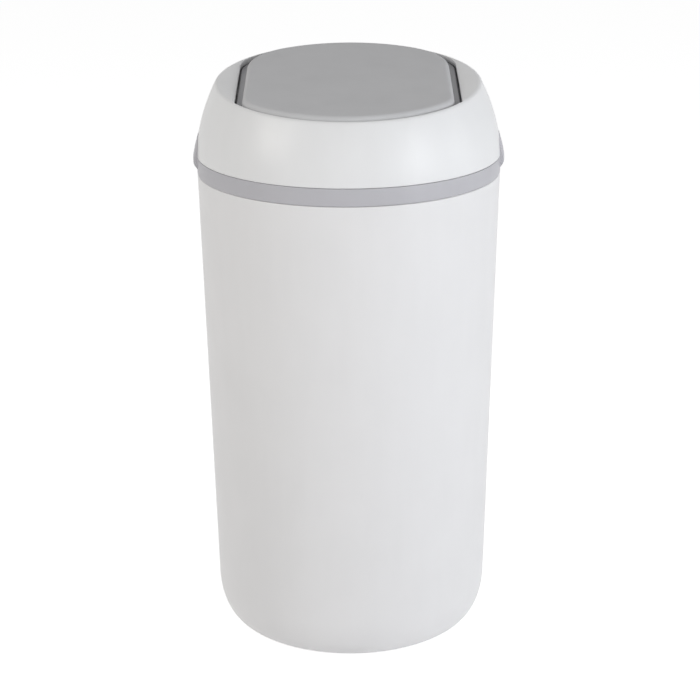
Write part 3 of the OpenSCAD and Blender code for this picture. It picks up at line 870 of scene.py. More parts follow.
class Workshop:
    """Holds the trees that sweep and repeat, and fixes finished pieces to the frame."""

    def __init__(self) -> None:
        """Makes the three trees."""
        self.revolve_rule = self._revolve_rule()
        self.circle_rule = self._circle_rule()
        self.grid_rule = self._grid_rule()

    @staticmethod
    def _revolve_rule() -> GeometryRule:
        """Makes the tree that sweeps a profile round the bin's axis.

        Returns:
            The rule.
        """
        rule = GeometryRule("revolve_profile", {"Path Radius": "Float", "Segments": "Int"})
        graph = rule.graph
        profile = graph.signal("GeometryNodeMeshToCurve", {"Mesh": rule.given("Geometry")})
        path = graph.signal("GeometryNodeCurvePrimitiveCircle", {
            "Resolution": rule.given("Segments"), "Radius": rule.given("Path Radius")}, "Curve")
        swept = graph.signal("GeometryNodeCurveToMesh", {"Curve": path, "Profile Curve": profile})
        return rule.close(graph.signal("GeometryNodeMergeByDistance",
                                       {"Geometry": swept, "Distance": WELD}))

    @staticmethod
    def _circle_rule() -> GeometryRule:
        """Makes the tree that copies one piece evenly round the bin's axis.

        Returns:
            The rule.
        """
        rule = GeometryRule("repeat_round", {"Count": "Int", "Ring Radius": "Float",
                                             "First Angle": "Float", "Height": "Float"})
        graph, radius = rule.graph, rule.given("Ring Radius")
        index = graph.signal("GeometryNodeInputIndex")
        turn = rule.given("First Angle") + index * FULL_TURN / rule.given("Count")
        place = graph.signal("ShaderNodeCombineXYZ", {
            "X": graph.math("COSINE", turn) * radius, "Y": graph.math("SINE", turn) * radius,
            "Z": rule.given("Height")})
        points = graph.signal("GeometryNodePoints", {"Count": rule.given("Count")})
        placed = graph.signal("GeometryNodeSetPosition", {"Geometry": points, "Position": place})
        return rule.close(graph.signal("GeometryNodeInstanceOnPoints", {
            "Points": placed, "Instance": rule.given("Geometry"),
            "Rotation": graph.signal("ShaderNodeCombineXYZ", {"Z": turn})}))

    @staticmethod
    def _grid_rule() -> GeometryRule:
        """Makes the tree that sets four copies of one piece at a slanted rectangle's corners.

        Returns:
            The rule.
        """
        rule = GeometryRule("repeat_square", {"Width": "Float", "Depth": "Float",
                                              "Place": "Vector", "Slant": "Float"})
        graph = rule.graph
        grid = graph.signal("GeometryNodeMeshGrid", {
            "Size X": rule.given("Width"), "Size Y": rule.given("Depth"),
            "Vertices X": 2, "Vertices Y": 2})
        copies = graph.signal("GeometryNodeInstanceOnPoints",
                              {"Points": grid, "Instance": rule.given("Geometry")})
        return rule.close(graph.signal("GeometryNodeTransform", {
            "Geometry": copies, "Translation": rule.given("Place"),
            "Rotation": graph.signal("ShaderNodeCombineXYZ", {"X": rule.given("Slant")})}))

    def revolve(self, name: str, outline: Sequence[Point], closed: bool, finish: Finish,
                segments: int) -> bpy.types.Object:
        """Revolves an outline about the bin's axis.

        Args:
            name: The object's name.
            outline: Radius and height of each point.
            closed: Whether the outline is a loop, or ends on the axis.
            finish: The piece's finish.
            segments: Steps round the axis.

        Returns:
            The object.
        """
        path_radius = max(r for r, _ in outline)
        count = len(outline)
        edges = [(i, (i + 1) % count) for i in range(count if closed else count - 1)]
        mesh = bpy.data.meshes.new(name)
        mesh.from_pydata([(r - path_radius, -z, 0.0) for r, z in outline], edges, [])
        return self.revolve_rule.apply(new_object(name, mesh), finish,
                                       {"Path Radius": path_radius, "Segments": segments})

    @staticmethod
    def dress(thing: bpy.types.Object, finish: Finish) -> bpy.types.Object:
        """Gives an object one material.

        Args:
            thing: The object, which is changed.
            finish: Its finish.

        Returns:
            The same object.
        """
        thing.data.materials.clear()
        thing.data.materials.append(finish.material())
        return thing

    @staticmethod
    def fix(thing: bpy.types.Object, body: str, slot: str, *nodes: str) -> None:
        """Fixes a finished piece to its body.

        Args:
            thing: The piece.
            body: The body that it moves with.
            slot: The record's material slot; it is not used.
            *nodes: The construction's nodes that it stands for.
        """
        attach(thing, body)
        if nodes:
            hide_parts(*nodes)
        triangles = sum(len(face.vertices) - 2 for face in thing.data.polygons)
        LOG.info("%s rides on %s: %d triangles", thing.name, body, triangles)

    @staticmethod
    def cut(thing: bpy.types.Object, cutter: bpy.types.Object) -> bpy.types.Object:
        """Cuts one closed object out of another.

        Args:
            thing: The object, which is changed.
            cutter: What is cut out of it, which is removed.

        Returns:
            The first object.
        """
        modifier = thing.modifiers.new("cut", "BOOLEAN")
        modifier.operation = "DIFFERENCE"
        modifier.solver = "EXACT"
        modifier.object = cutter
        bake(thing)
        bpy.data.objects.remove(cutter)
        return thing


# ---------------------------------------------------------------- sub-assemblies


@dataclass
class SubAssembly:
    """What each sub-assembly is given: the bin's sizes, and the workshop that makes its pieces."""

    sizes: Sizes
    shop: Workshop


@dataclass
class Bucket(SubAssembly):
    """The tapered bucket with its rounded foot, and the pads under it."""

    wall: float = 3 * MM
    floor: float = 3.5 * MM
    foot_h: float = 40 * MM
    foot_w: float = 20 * MM
    hollow: float = 3 * MM
    hollow_r: float = 81 * MM
    hollow_round: float = 1.5 * MM
    wall_start: float = 2 * MM
    rim_inset: float = 0.1 * MM
    rim_round: float = 1.3 * MM
    rim_round_in: float = 0.9 * MM
    foot_start: float = -88
    pad_r: float = 6.5 * MM
    pad_h: float = 2 * MM
    pad_dish: float = 0.05 * MM
    pad_bevel: Point = (1.6 * MM, 0.3 * MM)
    pad_round: float = 0.4 * MM
    pad_round_top: float = 0.2 * MM
    pad_count: int = 4
    around: int = 256

    def outer_radius(self, z: float) -> float:
        """Radius of the straight wall's outside at a height."""
        slope = (self.sizes.rim_r - self.sizes.foot_r) / self.sizes.bucket_h
        return self.sizes.foot_r + slope * z

    def build(self) -> None:
        """Makes the shell and the pads."""
        self._shell()
        self._pads()

    def _shell(self) -> None:
        """One outline from the axis under the base, over the rim, to the axis inside."""
        low, top, soft = self.sizes.pad_proud, self.sizes.bucket_h, self.hollow_round
        foot_z = low + self.foot_h
        foot_in = self.outer_radius(foot_z) - self.foot_w
        inner_top = self.outer_radius(top) - self.wall
        wall_z = foot_z + self.wall_start
        ledge_r, hollow_z = self.hollow_r + self.hollow, low + self.hollow
        under = soften([(0, hollow_z, 0), (self.hollow_r, hollow_z, soft), (ledge_r, low, soft),
                        (foot_in, low, 0)], closed=False)
        outside = arc((foot_in, foot_z), (self.foot_w, self.foot_h), self.foot_start, 0, 26)
        rim = soften([(self.outer_radius(wall_z), wall_z, 0),
                      (self.sizes.rim_r - self.rim_inset, top, self.rim_round),
                      (inner_top, top, self.rim_round_in),
                      (self.outer_radius(wall_z) - self.wall, wall_z, 0)], closed=False)
        inside = arc((foot_in, foot_z), (self.foot_w - self.wall, self.foot_h - self.floor),
                     0, self.foot_start, 18)
        floor_z = low + self.floor
        centre = soften([(foot_in, floor_z, 0), (ledge_r, floor_z, soft),
                         (self.hollow_r, floor_z + self.hollow, soft),
                         (0, floor_z + self.hollow, 0)], closed=False)
        shell = self.shop.revolve("bucket_shell", under + outside + rim + inside + centre, False,
                                  Finish.BUCKET, self.around)
        self.shop.fix(shell, "bucket", "bucket_white", "outer_bucket")

    def _pads(self) -> None:
        """Rubber pads, domed a little and repeated round the base."""
        ring = (self.hollow_r + self.sizes.foot_r - self.foot_w) / 2
        outline = soften([(0, self.pad_dish, 0),
                          (self.pad_r - self.pad_bevel[0], 0, self.pad_round),
                          (self.pad_r, self.pad_bevel[1], self.pad_round),
                          (self.pad_r, self.pad_h, self.pad_round_top),
                          (0, self.pad_h, 0)], closed=False)
        pad = self.shop.revolve("grip_pads", outline, False, Finish.GRIP, 40)
        self.shop.circle_rule.apply(pad, Finish.GRIP, {
            "Count": self.pad_count, "Ring Radius": ring,
            "First Angle": math.pi / self.pad_count, "Height": 0.0})
        self.shop.fix(pad, "bucket", "rubber_dark", "base_pads")


@dataclass
class LinerRing(SubAssembly):
    """The grey ring that holds the liner, with a lift tab at each side."""

    wall: float = 3.2 * MM
    web: float = 3 * MM
    bore_r: float = 119 * MM
    skirt_h: float = 27 * MM
    skirt_t: float = 2.2 * MM
    bead: float = 3 * MM
    bead_r: float = 126.7 * MM
    bead_bevel: float = 1 * MM
    round_out: float = 0.7 * MM
    round_in: float = 0.6 * MM
    round_soft: float = 0.8 * MM
    round_web: float = 0.5 * MM
    tab_half: float = 20 * MM
    tab_rise: float = 18 * MM
    tab_drop: float = 9.5 * MM
    tab_proud: float = 3.3 * MM
    tab_tip: float = 0.3 * MM
    tab_corner: float = 12 * MM
    tab_gap: float = 0.35 * MM
    tab_foot: float = 0.2 * MM
    tab_run_in: float = 3.5 * MM
    tab_root: float = 0.5 * MM
    tab_blend: tuple[float, ...] = (-1.6, -0.8, 0, 0.8, 1.6)
    tip_run: float = 3 * MM
    tip_spare: float = 0.01 * MM
    cutter_run: float = 4 * MM
    cutter_below: float = 5 * MM
    cutter_beyond: float = 9 * MM
    recess: float = 0.15 * MM
    edge: float = 1.1 * MM
    around: int = 256

    @property
    def recess_r(self) -> float:
        """Radius of the head's recesses behind the tabs."""
        return float(self.sizes.dome_radius(np.array(self.tab_top))) - self.recess

    @property
    def tab_top(self) -> float:
        """Height of the tabs' tips."""
        return self.sizes.ring_top + self.tab_rise

    def build(self) -> None:
        """Makes the band with its skirt, and the two tabs."""
        size, out = self.sizes, self.sizes.rim_r
        low, top, skirt_z = size.ring_z, size.ring_top, size.ring_z - self.skirt_h
        outline = soften([
            (out, low, self.round_out), (out, top, self.round_out),
            (out - self.wall, top, self.round_in),
            (out - self.wall, low + self.web, self.round_in),
            (self.bore_r, low + self.web, self.round_soft),
            (self.bore_r, skirt_z, self.round_in),
            (self.bead_r - self.bead_bevel, skirt_z, self.round_in),
            (self.bead_r, skirt_z + self.bead / 2, self.round_soft),
            (self.bore_r + self.skirt_t, skirt_z + 2 * self.bead, self.round_soft),
            (self.bore_r + self.skirt_t, low, self.round_web)])
        band = self.shop.revolve("liner_band", outline, True, Finish.RING, self.around)
        self.shop.fix(band, "ring", "ring_grey", "bag_ring")
        for label, side in (("left", -1), ("right", 1)):
            self._tab(f"lift_tab_{label}", side)

    def half_width(self, z: np.ndarray, grow: float = 0.0) -> np.ndarray:
        """Half the tab's width at each height.

        Args:
            z: Heights above the floor.
            grow: How far the outline is grown all round.

        Returns:
            The half widths.
        """
        corner = self.tab_corner + grow
        above = np.clip(z - (self.tab_top + grow - corner), 0, corner)
        return self.tab_half + grow - corner + np.sqrt(np.maximum(0, corner**2 - above**2))

    def outer_radius(self, z: np.ndarray) -> np.ndarray:
        """Radius of the tab's face: proud of the band, thinning upwards along the dome.

        Args:
            z: Heights above the floor.

        Returns:
            The radii.
        """
        out, low, top = self.sizes.rim_r, self.sizes.ring_top - self.tab_drop, self.sizes.ring_top
        heights = [low, low + self.tab_run_in, top, top + self.tab_rise * 0.45, self.tab_top]
        radii = [out + self.tab_foot, out + self.tab_proud, out + self.tab_proud,
                 out + self.tab_proud * 0.5, self.recess_r + self.tab_gap + self.tab_tip]
        smooth = [np.interp(z + shift * MM, heights, radii) for shift in self.tab_blend]
        return np.mean(smooth, axis=0)

    @staticmethod
    def _tongue(name: str, side: int, z: np.ndarray, y: np.ndarray, face: np.ndarray,
                back: np.ndarray) -> bpy.types.Object:
        """A closed tongue between an outer and an inner sheet of points.

        Args:
            name: The object's name.
            side: -1 for left and 1 for right.
            z: Height of each row.
            y: Y of each row's points.
            face: X of the outer sheet's points.
            back: X of the inner sheet's points.

        Returns:
            The object.
        """
        outer, inner = (np.stack(np.broadcast_arrays(x, y, z[:, None]), -1) for x in (face, back))
        loops = np.concatenate([outer, inner[:, ::-1]], axis=1) * np.array([side, 1, 1])
        return loft(name, loops, ends=True)

    def _tab(self, name: str, side: int) -> None:
        """One tab, its face rounded at the edges.

        Args:
            name: The piece's name.
            side: -1 for left and 1 for right.
        """
        low = self.sizes.ring_top - self.tab_drop
        high, close = self.tab_top - self.tip_spare, self.tip_run
        z = np.concatenate([np.linspace(low, high - close, 40, endpoint=False),
                            high - close * (1 - np.linspace(0, 1, 16)) ** 2])
        half = self.half_width(z)[:, None]
        y = half * np.sin(np.linspace(-math.pi / 2, math.pi / 2, 41))
        depth = np.minimum(half - np.abs(y), np.maximum(0, high - z)[:, None])
        short = np.maximum(0, self.edge - depth)
        roll = self.edge - np.sqrt(np.maximum(0, self.edge**2 - short**2))
        base = self.recess_r + self.tab_gap
        thick = self.outer_radius(z)[:, None] - base
        face_r = base + np.maximum(thick - roll, thick * (1 - roll / self.edge))
        back_r = np.where(z < self.sizes.ring_top - self.tab_root,
                          self.sizes.rim_r - self.wall / 2, base)[:, None]
        tab = self._tongue(name, side, z, y, np.sqrt(face_r**2 - y**2), np.sqrt(back_r**2 - y**2))
        self.shop.fix(self.shop.dress(tab, Finish.RING), "ring", "ring_grey")

    def recess_cutter(self, side: int) -> bpy.types.Object:
        """The space that a tab takes out of the head, with its clearance.

        Args:
            side: -1 for left and 1 for right.

        Returns:
            A closed object.
        """
        top, close = self.tab_top + self.tab_gap, self.cutter_run
        low = self.sizes.ring_top - self.cutter_below
        z = np.concatenate([np.linspace(low, top - close, 12, endpoint=False),
                            top - close * (1 - np.linspace(0, 1, 14)) ** 2 - self.tip_spare])
        y = self.half_width(z, self.tab_gap)[:, None] * np.linspace(-1, 1, 25)
        beyond = np.array(self.sizes.rim_r + self.cutter_beyond)
        return self._tongue("recess_cutter", side, z, y, beyond, np.sqrt(self.recess_r**2 - y**2))


@dataclass
class Head(SubAssembly):
    """The domed head with its slanted mouth, whose sides roll in towards the flap."""

    ring: LinerRing
    wall: float = 2.4 * MM
    lip: float = 5.5 * MM
    rim_round: float = 4 * MM
    edge_round: float = 0.6 * MM
    foot_round: float = 0.5 * MM
    roll_drop: float = 2.6 * MM
    roll_slope: float = 0.2
    farthest: float = 200 * MM
    halvings: int = 44
    settling: int = 24
    around: int = 360
    in_corner: int = 16
    dome_steps: int = 30
    dome_crowding: float = 0.9
    rim_steps: int = 10
    roll_steps: int = 15
    inside_steps: int = 20
    edge_share: float = 0.3

    def build(self) -> None:
        """Makes the shell, and cuts the tabs' recesses into its foot."""
        mouth = CutCircle(self.sizes.mouth_r, self.sizes.mouth_half, self.sizes.mouth_front,
                          self.sizes.mouth_back)
        angle = mouth.angles(self.around, self.in_corner)
        shell = loft("head_shell", self._rows(mouth, angle), close_rows=True)
        for side in (-1, 1):
            self.shop.cut(shell, self.ring.recess_cutter(side))
        self.shop.dress(shell, Finish.HEAD)
        self.shop.fix(shell, "head", "head_white", "head_housing")

    def reach(self, angle: np.ndarray, w: np.ndarray | float, inset: float = 0.0) -> np.ndarray:
        """How far from the mouth's axis the dome lies at a slanted height.

        Args:
            angle: Angles about the mouth's axis.
            w: Slanted height of each.
            inset: How far the dome is drawn in.

        Returns:
            The distances.
        """
        low, high = np.zeros_like(angle), np.full_like(angle, self.farthest)
        for _ in range(self.halvings):
            mid = (low + high) / 2
            spot = self.sizes.row(angle, mid, w)
            limit = self.sizes.dome_radius(spot[:, 2]) - inset
            outside = np.hypot(spot[:, 0], spot[:, 1]) > limit
            low, high = np.where(outside, low, mid), np.where(outside, mid, high)
        return (low + high) / 2

    def at_height(self, angle: np.ndarray, z: np.ndarray, inset: float = 0.0) -> np.ndarray:
        """Points of the dome at given heights above the floor.

        Args:
            angle: Angles about the mouth's axis.
            z: Height of each.
            inset: How far the dome is drawn in.

        Returns:
            The points.
        """
        cos, sin = math.cos(self.sizes.mouth_tilt), math.sin(self.sizes.mouth_tilt)
        w = (z - self.sizes.mouth_z) / cos
        for _ in range(self.settling):
            rho = self.reach(angle, w, inset)
            w = (z - self.sizes.mouth_z - rho * np.sin(angle) * sin) / cos
        return self.sizes.row(angle, rho, w)

    def _rows(self, mouth: CutCircle, angle: np.ndarray) -> list[np.ndarray]:
        """Rows from the foot up the outside, over the rim, down the lip and down the inside.

        Args:
            mouth: The mouth's outline.
            angle: Angles of the rows' points about the mouth's axis.

        Returns:
            The rows.
        """
        row = functools.partial(self.sizes.row, angle)
        slope = (self.reach(angle, -4 * MM) - self.reach(angle, -1 * MM)) / (3 * MM)
        turn = np.arctan2(1.0, slope)
        centre = self.reach(angle, 0.0) - self.rim_round * np.tan(turn / 2)
        inner = mouth.radius(angle)
        hole = inner + self.edge_round
        last = np.arcsin(np.clip((hole - centre) / self.rim_round, 0, np.sin(turn)))

        def over(beta: np.ndarray) -> tuple[np.ndarray, np.ndarray]:
            """Reach and slanted height of the rim's round at an angle from its top."""
            return centre + self.rim_round * np.sin(beta), -self.rim_round * (1 - np.cos(beta))

        top_z = row(*over(turn))[:, 2]
        foot = self.sizes.head_z
        start_z = foot + self.foot_round
        rows = [self.at_height(angle, np.full_like(angle, foot), self.foot_round)]
        for t in np.linspace(0, 1, self.dome_steps) ** self.dome_crowding:
            rows.append(self.at_height(angle, start_z + (top_z - foot - self.foot_round) * t))
        for t in np.linspace(1 / self.rim_steps, 1, self.rim_steps):
            rows.append(row(*over(turn + (last - turn) * t)))
        start, crest = over(last)
        wide = np.maximum(start - inner, self.edge_round)
        deep = self.edge_round + np.minimum(self.roll_drop,
                                            self.roll_slope * (wide - self.edge_round))
        for a in np.radians(np.linspace(0, 90, self.roll_steps)[1:]):
            rows.append(row(inner + wide * (1 - np.sin(a)), crest - deep * (1 - np.cos(a))))
        for w in (-self.lip * 0.5, -self.lip + self.edge_round):
            rows.append(row(inner, w))
        cut = self.edge_round * self.edge_share
        rows.append(row(inner + cut, -self.lip + cut))
        rows.append(row(inner + self.edge_round, -self.lip))
        ledge = row(self.reach(angle, -self.lip, self.wall), -self.lip)
        rows.append(ledge)
        for t in np.linspace(0, 1, self.inside_steps)[1:]:
            rows.append(self.at_height(angle, ledge[:, 2] + (foot - ledge[:, 2]) * t, self.wall))
        return rows


@dataclass
class PushFlap(SubAssembly):
    """The grey flap: its crowned cover and the wiper seal."""

    gap: float = 2.1 * MM
    side_gap: float = 6.3 * MM
    front: float = 27 * MM
    back: float = 62 * MM
    proud: float = 2.6 * MM
    crown: float = 1.2 * MM
    edge: float = 5 * MM
    wall: float = 2.2 * MM
    foot: float = -4.4 * MM
    foot_round: float = 0.3 * MM
    seal_proud: float = 1.4 * MM
    seal_t: float = 1.4 * MM
    seal_seat: float = 3 * MM
    seal_taper: float = 0.9 * MM
    seal_edge: float = 0.25 * MM
    seal_side_gap: float = 0.5 * MM
    corner_step: float = 1 * MM
    screw_u: float = 50 * MM
    screw_v: float = 52 * MM
    pan_depth: float = 8 * MM
    around: int = 300
    in_corner: int = 26
    seal_in_corner: int = 14
    crown_steps: int = 22
    crown_crowding: float = 0.8
    edge_steps: int = 9
    inside_steps: int = 6
    seal_rounds: Tone = (0.2 * MM, 0.3 * MM, 0.15 * MM)

    @property
    def cover_r(self) -> float:
        """Radius of the cover's round ends."""
        return self.sizes.mouth_r - self.gap

    def build(self) -> None:
        """Makes the cover and the seal."""
        self._cover()
        self._seal()

    def _cover(self) -> None:
        """A crowned shell with a rounded edge."""
        outline = CutCircle(self.cover_r, self.sizes.mouth_half - self.side_gap, self.front,
                            self.back)
        angle = outline.angles(self.around, self.in_corner)
        out = outline.radius(angle)
        row = functools.partial(self.sizes.row, angle)
        flat, under = out - self.edge, self.proud - self.wall
        round_in = self.edge - self.wall
        rows = [row(flat * k, self.proud + self.crown * (1 - k**2))
                for k in np.linspace(0, 1, self.crown_steps) ** self.crown_crowding]
        for a in np.radians(np.linspace(90 / self.edge_steps, 90, self.edge_steps)):
            rows.append(row(flat + self.edge * math.sin(a),
                            self.proud - self.edge * (1 - math.cos(a))))
        rows.append(row(out, self.foot + self.foot_round))
        rows.append(row(out - self.foot_round, self.foot))
        rows.append(row(out - self.wall + self.foot_round, self.foot))
        rows.append(row(out - self.wall, self.foot + self.foot_round))
        for a in np.radians(np.linspace(90, 0, self.inside_steps)):
            rows.append(row(flat + round_in * math.sin(a), under - round_in * (1 - math.cos(a))))
        for k in (0.8, 0.5, 0.2, 0.0):
            rows.append(row(flat * k, under + self.crown * (1 - k**2)))
        cover = self.shop.dress(loft("flap_lid", rows), Finish.LID)
        self.shop.fix(cover, "push_flap", "lid_grey", "flap_cover")

    def _seal(self) -> None:
        """A soft lip round the tray, with a fine wiping edge."""
        outline = CutCircle(self.cover_r + self.seal_proud,
                            self.sizes.mouth_half - self.seal_side_gap,
                            self.sizes.mouth_front + self.corner_step,
                            self.sizes.mouth_back + self.corner_step)
        angle = outline.angles(self.around, self.seal_in_corner)
        out = outline.radius(angle)
        middle, half = self.foot - self.wall / 2, self.seal_t / 2
        inner = -(self.seal_proud + self.seal_seat)
        upper = list(zip((inner, -self.seal_taper, 0.0), (half, half, self.seal_edge),
                         self.seal_rounds))
        lower = [(reach, -rise, soft) for reach, rise, soft in upper]
        section = soften([(reach, middle + rise, soft)
                          for reach, rise, soft in lower + upper[::-1]], steps=3)
        rows = [self.sizes.row(angle, out + reach, w) for reach, w in section]
        seal = self.shop.dress(loft("wiper_seal", rows, close_rows=True), Finish.SEAL)
        self.shop.fix(seal, "push_flap", "seal_grey", "flap_seal")


@dataclass
class Screws(SubAssembly):
    """Pan-head screws with a cross recess, repeated where the frame and the flap need them."""

    flap: PushFlap
    shank_r: float = 1.5 * MM
    head_r: float = 2.9 * MM
    head_h: float = 1.8 * MM
    pitch: float = 1.1 * MM
    thread: float = 0.18 * MM
    thread_start: float = 0.2 * MM
    tip: float = 1.2 * MM
    crown_inset: float = 0.4 * MM
    crown_round: float = 0.8 * MM
    side_h: float = 0.5 * MM
    cross_arm: float = 0.58
    cross_wide: float = 0.16
    cross_foot: float = 0.35
    cross_depth: float = 0.3
    frame_count: int = 6
    frame_ring_r: float = 111.5 * MM
    frame_length: float = 11 * MM
    flap_length: float = 9 * MM

    def build(self) -> None:
        """Makes both sets of screws."""
        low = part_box("frame_screws")[0].z + self.head_h
        frame_set = self._screw("frame_screw_set", self.frame_length)
        self.shop.circle_rule.apply(frame_set, Finish.SCREW, {
            "Count": self.frame_count, "Ring Radius": self.frame_ring_r,
            "First Angle": math.pi / 2, "Height": low})
        self.shop.fix(frame_set, "head", "screw_steel", "frame_screws")
        place = self.sizes.slanted(0.0, 0.0, self.flap.foot - self.flap.wall - self.flap.pan_depth)
        flap_set = self._screw("flap_screw_set", self.flap_length)
        self.shop.grid_rule.apply(flap_set, Finish.SCREW, {
            "Width": 2 * self.flap.screw_u, "Depth": 2 * self.flap.screw_v,
            "Place": place.tolist(), "Slant": self.sizes.mouth_tilt})
        self.shop.fix(flap_set, "push_flap", "screw_steel", "flap_screws")

    def _screw(self, name: str, shank: float) -> bpy.types.Object:
        """One screw that points up, its head under z = 0.

        Args:
            name: The object's name.
            shank: The length of its shank.

        Returns:
            The object.
        """
        crown_r = self.head_r - self.crown_inset
        outline = soften([(0, -self.head_h, 0), (crown_r, -self.head_h, self.crown_round),
                          (self.head_r, -self.side_h, self.side_h),
                          (self.head_r, 0, 0.1 * MM), (self.shank_r, 0, 0)], closed=False)
        root_r = self.shank_r - self.thread
        for i in range(int((shank - self.tip - 2 * self.thread_start) / self.pitch)):
            z = i * self.pitch + self.thread_start
            outline += [(root_r, z), (root_r, z + 0.5 * self.pitch),
                        (self.shank_r, z + 0.75 * self.pitch)]
        outline += [(root_r, shank - self.tip), (0, shank)]
        screw = self.shop.revolve(name, outline, False, Finish.SCREW, 24)
        return self.shop.cut(screw, self._cross())

    def _cross(self) -> bpy.types.Object:
        """The cross recess as a closed star that tapers into the head.

        Returns:
            A closed object.
        """
        arm, wide = self.head_r * self.cross_arm, self.head_r * self.cross_wide
        plan = []
        for quarter in range(4):
            turn = quarter * math.pi / 2
            for x, y in ((arm, -wide), (arm, wide), (wide, wide)):
                plan.append((x * math.cos(turn) - y * math.sin(turn),
                             x * math.sin(turn) + y * math.cos(turn)))
        shape = np.array(plan)
        rows = [np.column_stack([shape * scale, np.full(len(shape), z)])
                for scale, z in ((1.0, -self.head_h - 0.5 * MM), (1.0, -self.head_h + 0.1 * MM),
                                 (self.cross_foot, -self.head_h * self.cross_depth))]
        return loft("cross_cutter", rows, ends=True)


class Hand(Enum):
    """Which side of the bin a spring stands on."""

    LEFT = -1
    RIGHT = 1


@dataclass
class TorsionSpring:
    """A torsion spring along X, on the head: a straight leg, the coil, and another straight leg."""

    name: str
    node: str
    start: Vector
    hand: Hand
    coil_r: float
    wire_r: float
    turn: float
    pitch: float
    leg: float
    way: int = 1
    per_turn: int = 28

    def heading(self, a: float) -> np.ndarray:
        """The wire's direction in the plane of Y and Z."""
        return self.way * np.array([0.0, -math.sin(a), math.cos(a)])

    def build(self, shop: Workshop) -> None:
        """Sweeps the wire.

        Args:
            shop: What fixes the spring to its body.
        """
        t = np.linspace(0, self.turn, round(self.turn / FULL_TURN * self.per_turn) + 1)
        coil = np.column_stack([self.pitch * t / FULL_TURN, self.coil_r * np.cos(self.way * t),
                                self.coil_r * np.sin(self.way * t)])
        along = np.linspace(1, 0, 5)[:-1, None]
        first = coil[0] - along * self.leg * self.heading(0.0)
        last = coil[-1] + along[::-1] * self.leg * self.heading(self.way * self.turn)
        path = np.concatenate([first, coil, last]) * np.array([self.hand.value, 1, 1])
        wire = tube(self.name, path + np.array(self.start), self.wire_r)
        shop.fix(shop.dress(wire, Finish.SPRING), "head", "spring_steel", self.node)


@dataclass
class Springs(SubAssembly):
    """The flap's two springs and the trap flap's one."""

    flap_wire: float = 0.55 * MM
    flap_coil: float = 3.4 * MM
    flap_pitch: float = 1.6 * MM
    flap_leg: float = 6 * MM
    flap_turn: float = math.radians(1350)
    trap_wire: float = 0.4 * MM
    trap_coil: float = 2.35 * MM
    trap_pitch: float = 1.3 * MM
    trap_leg: float = 9 * MM
    trap_turn: float = math.radians(2250)

    def build(self) -> None:
        """Makes all three, each where its node stands."""
        pivot = self.sizes.slanted(0.0, 0.0, -self.sizes.pivot_depth)
        for hand in Hand:
            label = hand.name.lower()
            low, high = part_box(f"flap_spring_{label}")
            inner = min(abs(low.x), abs(high.x)) + self.flap_wire
            TorsionSpring(f"flap_coil_{label}", f"flap_spring_{label}",
                          Vector((hand.value * inner, pivot[1], pivot[2])), hand, self.flap_coil,
                          self.flap_wire, self.flap_turn, self.flap_pitch,
                          self.flap_leg).build(self.shop)
        low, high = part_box("trap_pin")
        axis = (low + high) / 2
        length = self.trap_pitch * self.trap_turn / FULL_TURN
        TorsionSpring("trap_coil", "trap_spring", Vector((-length / 2, axis.y, axis.z)),
                      Hand.RIGHT, self.trap_coil, self.trap_wire, self.trap_turn, self.trap_pitch,
                      self.trap_leg, way=-1).build(self.shop)


@dataclass
class CarriedNodes:
    """The construction's own solids that stay, each in its finish."""

    nodes: dict[str, bpy.types.Object]
    finishes: dict[str, Finish] = field(default_factory=lambda: {
        "chute_frame": Finish.CHUTE, "flap_tray": Finish.CHUTE, "trap_flap": Finish.CHUTE,
        "head_gasket": Finish.SEAL, "trap_seal": Finish.SEAL, "flap_bumpers": Finish.GRIP,
        "pivot_bush_left": Finish.BUSH, "pivot_bush_right": Finish.BUSH,
        "pivot_pin_left": Finish.PIN, "pivot_pin_right": Finish.PIN, "trap_pin": Finish.PIN,
    })

    def build(self) -> None:
        """Gives each its material."""
        for name, finish in self.finishes.items():
            for slot in self.nodes[name].material_slots:
                slot.material = finish.material()
            LOG.info("%s stays, in %s", name, finish.value.name)


# ---------------------------------------------------------------- studio


@dataclass(frozen=True)
class SoftBox:
    """A square lamp that faces a point."""

    name: str
    place: tuple[float, float, float]
    side: float
    power: float
    tint: Tone = (1.0, 1.0, 1.0)
    aim: tuple[float, float, float] = (0.0, 0.0, 0.35)

    def build(self) -> None:
        """Hangs the lamp."""
        light = bpy.data.lights.new(self.name, "AREA")
        light.shape = "SQUARE"
        light.size = self.side
        light.energy = self.power
        light.color = self.tint
        lamp = new_object(self.name, light)
        lamp.location = self.place
        heading = Vector(self.aim) - Vector(self.place)
        lamp.rotation_euler = heading.to_track_quat("-Z", "Y").to_euler()


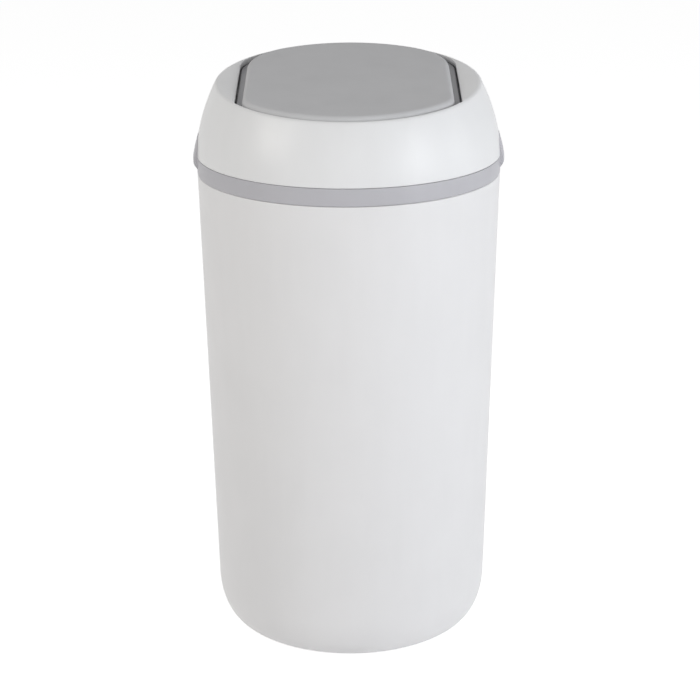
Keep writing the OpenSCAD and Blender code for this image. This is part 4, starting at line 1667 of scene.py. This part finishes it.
@dataclass
class Studio:
    """Floor, surroundings, lamps and camera."""

    distance: float = 1.8
    elevation: float = math.radians(18.8)
    look_z: float = 0.249
    lens: float = 103.5
    sensor: float = 36.0
    roll: float = math.radians(0.38)
    surround: float = 0.33
    floor_half: float = 6.0
    lamps: tuple[SoftBox, ...] = (
        SoftBox("key_right", (1.66, -1.39, 0.73), 1.05, 17.5, (0.94, 0.97, 1.0)),
        SoftBox("side_right", (2.17, -0.19, 0.66), 0.95, 6.3, (0.94, 0.97, 1.0)),
        SoftBox("fill_left", (-1.77, -1.02, 1.17), 0.95, 13.5, (1.0, 0.98, 0.93)),
        SoftBox("front", (0.1, -2.15, 0.78), 1.2, 5.4),
    )

    def build(self) -> None:
        """Sets the whole studio up."""
        self._camera()
        self._floor()
        self._surround()
        for lamp in self.lamps:
            lamp.build()
        bpy.context.scene.view_settings.view_transform = "Standard"

    def _camera(self) -> None:
        """Puts the camera at the viewing angle of the photograph."""
        data = bpy.data.cameras.new("camera")
        data.lens = self.lens
        data.sensor_width = self.sensor
        data.clip_start, data.clip_end = 0.05, 50.0
        camera = new_object("camera", data)
        away = Vector((0.0, -math.cos(self.elevation), math.sin(self.elevation)))
        camera.location = Vector((0.0, 0.0, self.look_z)) + away * self.distance
        camera.rotation_mode = "QUATERNION"
        camera.rotation_quaternion = (-away).to_track_quat("-Z", "Y") @ Quaternion(
            (0.0, 0.0, 1.0), -self.roll)
        bpy.context.scene.camera = camera

    def _floor(self) -> None:
        """Lays the floor."""
        mesh = bpy.data.meshes.new("floor")
        corners = [(x * self.floor_half, y * self.floor_half, 0)
                   for x, y in ((-1, -1), (1, -1), (1, 1), (-1, 1))]
        mesh.from_pydata(corners, [], [(0, 1, 2, 3)])
        mesh.materials.append(StudioFloor().build())
        new_object("floor", mesh)

    def _surround(self) -> None:
        """White to the camera and to reflections, and a plain soft level on the object."""
        world = bpy.data.worlds.new("studio")
        world.use_nodes = True
        bpy.context.scene.world = world
        graph = Graph(world.node_tree)
        world.node_tree.nodes.clear()
        strength = graph.seen() * (1.0 - self.surround) + self.surround
        back = graph.signal("ShaderNodeBackground", {"Color": WHITE, "Strength": strength})
        graph.node("ShaderNodeOutputWorld", {"Surface": back})


# ---------------------------------------------------------------- main


def main() -> None:
    """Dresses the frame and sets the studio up."""
    logging.basicConfig(level=logging.INFO, format="%(name)s: %(message)s")
    for thing in list(bpy.data.objects):
        bpy.data.objects.remove(thing)
    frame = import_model()
    sizes, shop = Sizes(), Workshop()
    ring, flap = LinerRing(sizes, shop), PushFlap(sizes, shop)
    for part in (Studio(), Bucket(sizes, shop), ring, Head(sizes, shop, ring), flap,
                 Screws(sizes, shop, flap), Springs(sizes, shop), CarriedNodes(frame["nodes"])):
        part.build()


if __name__ == "__main__":
    main()
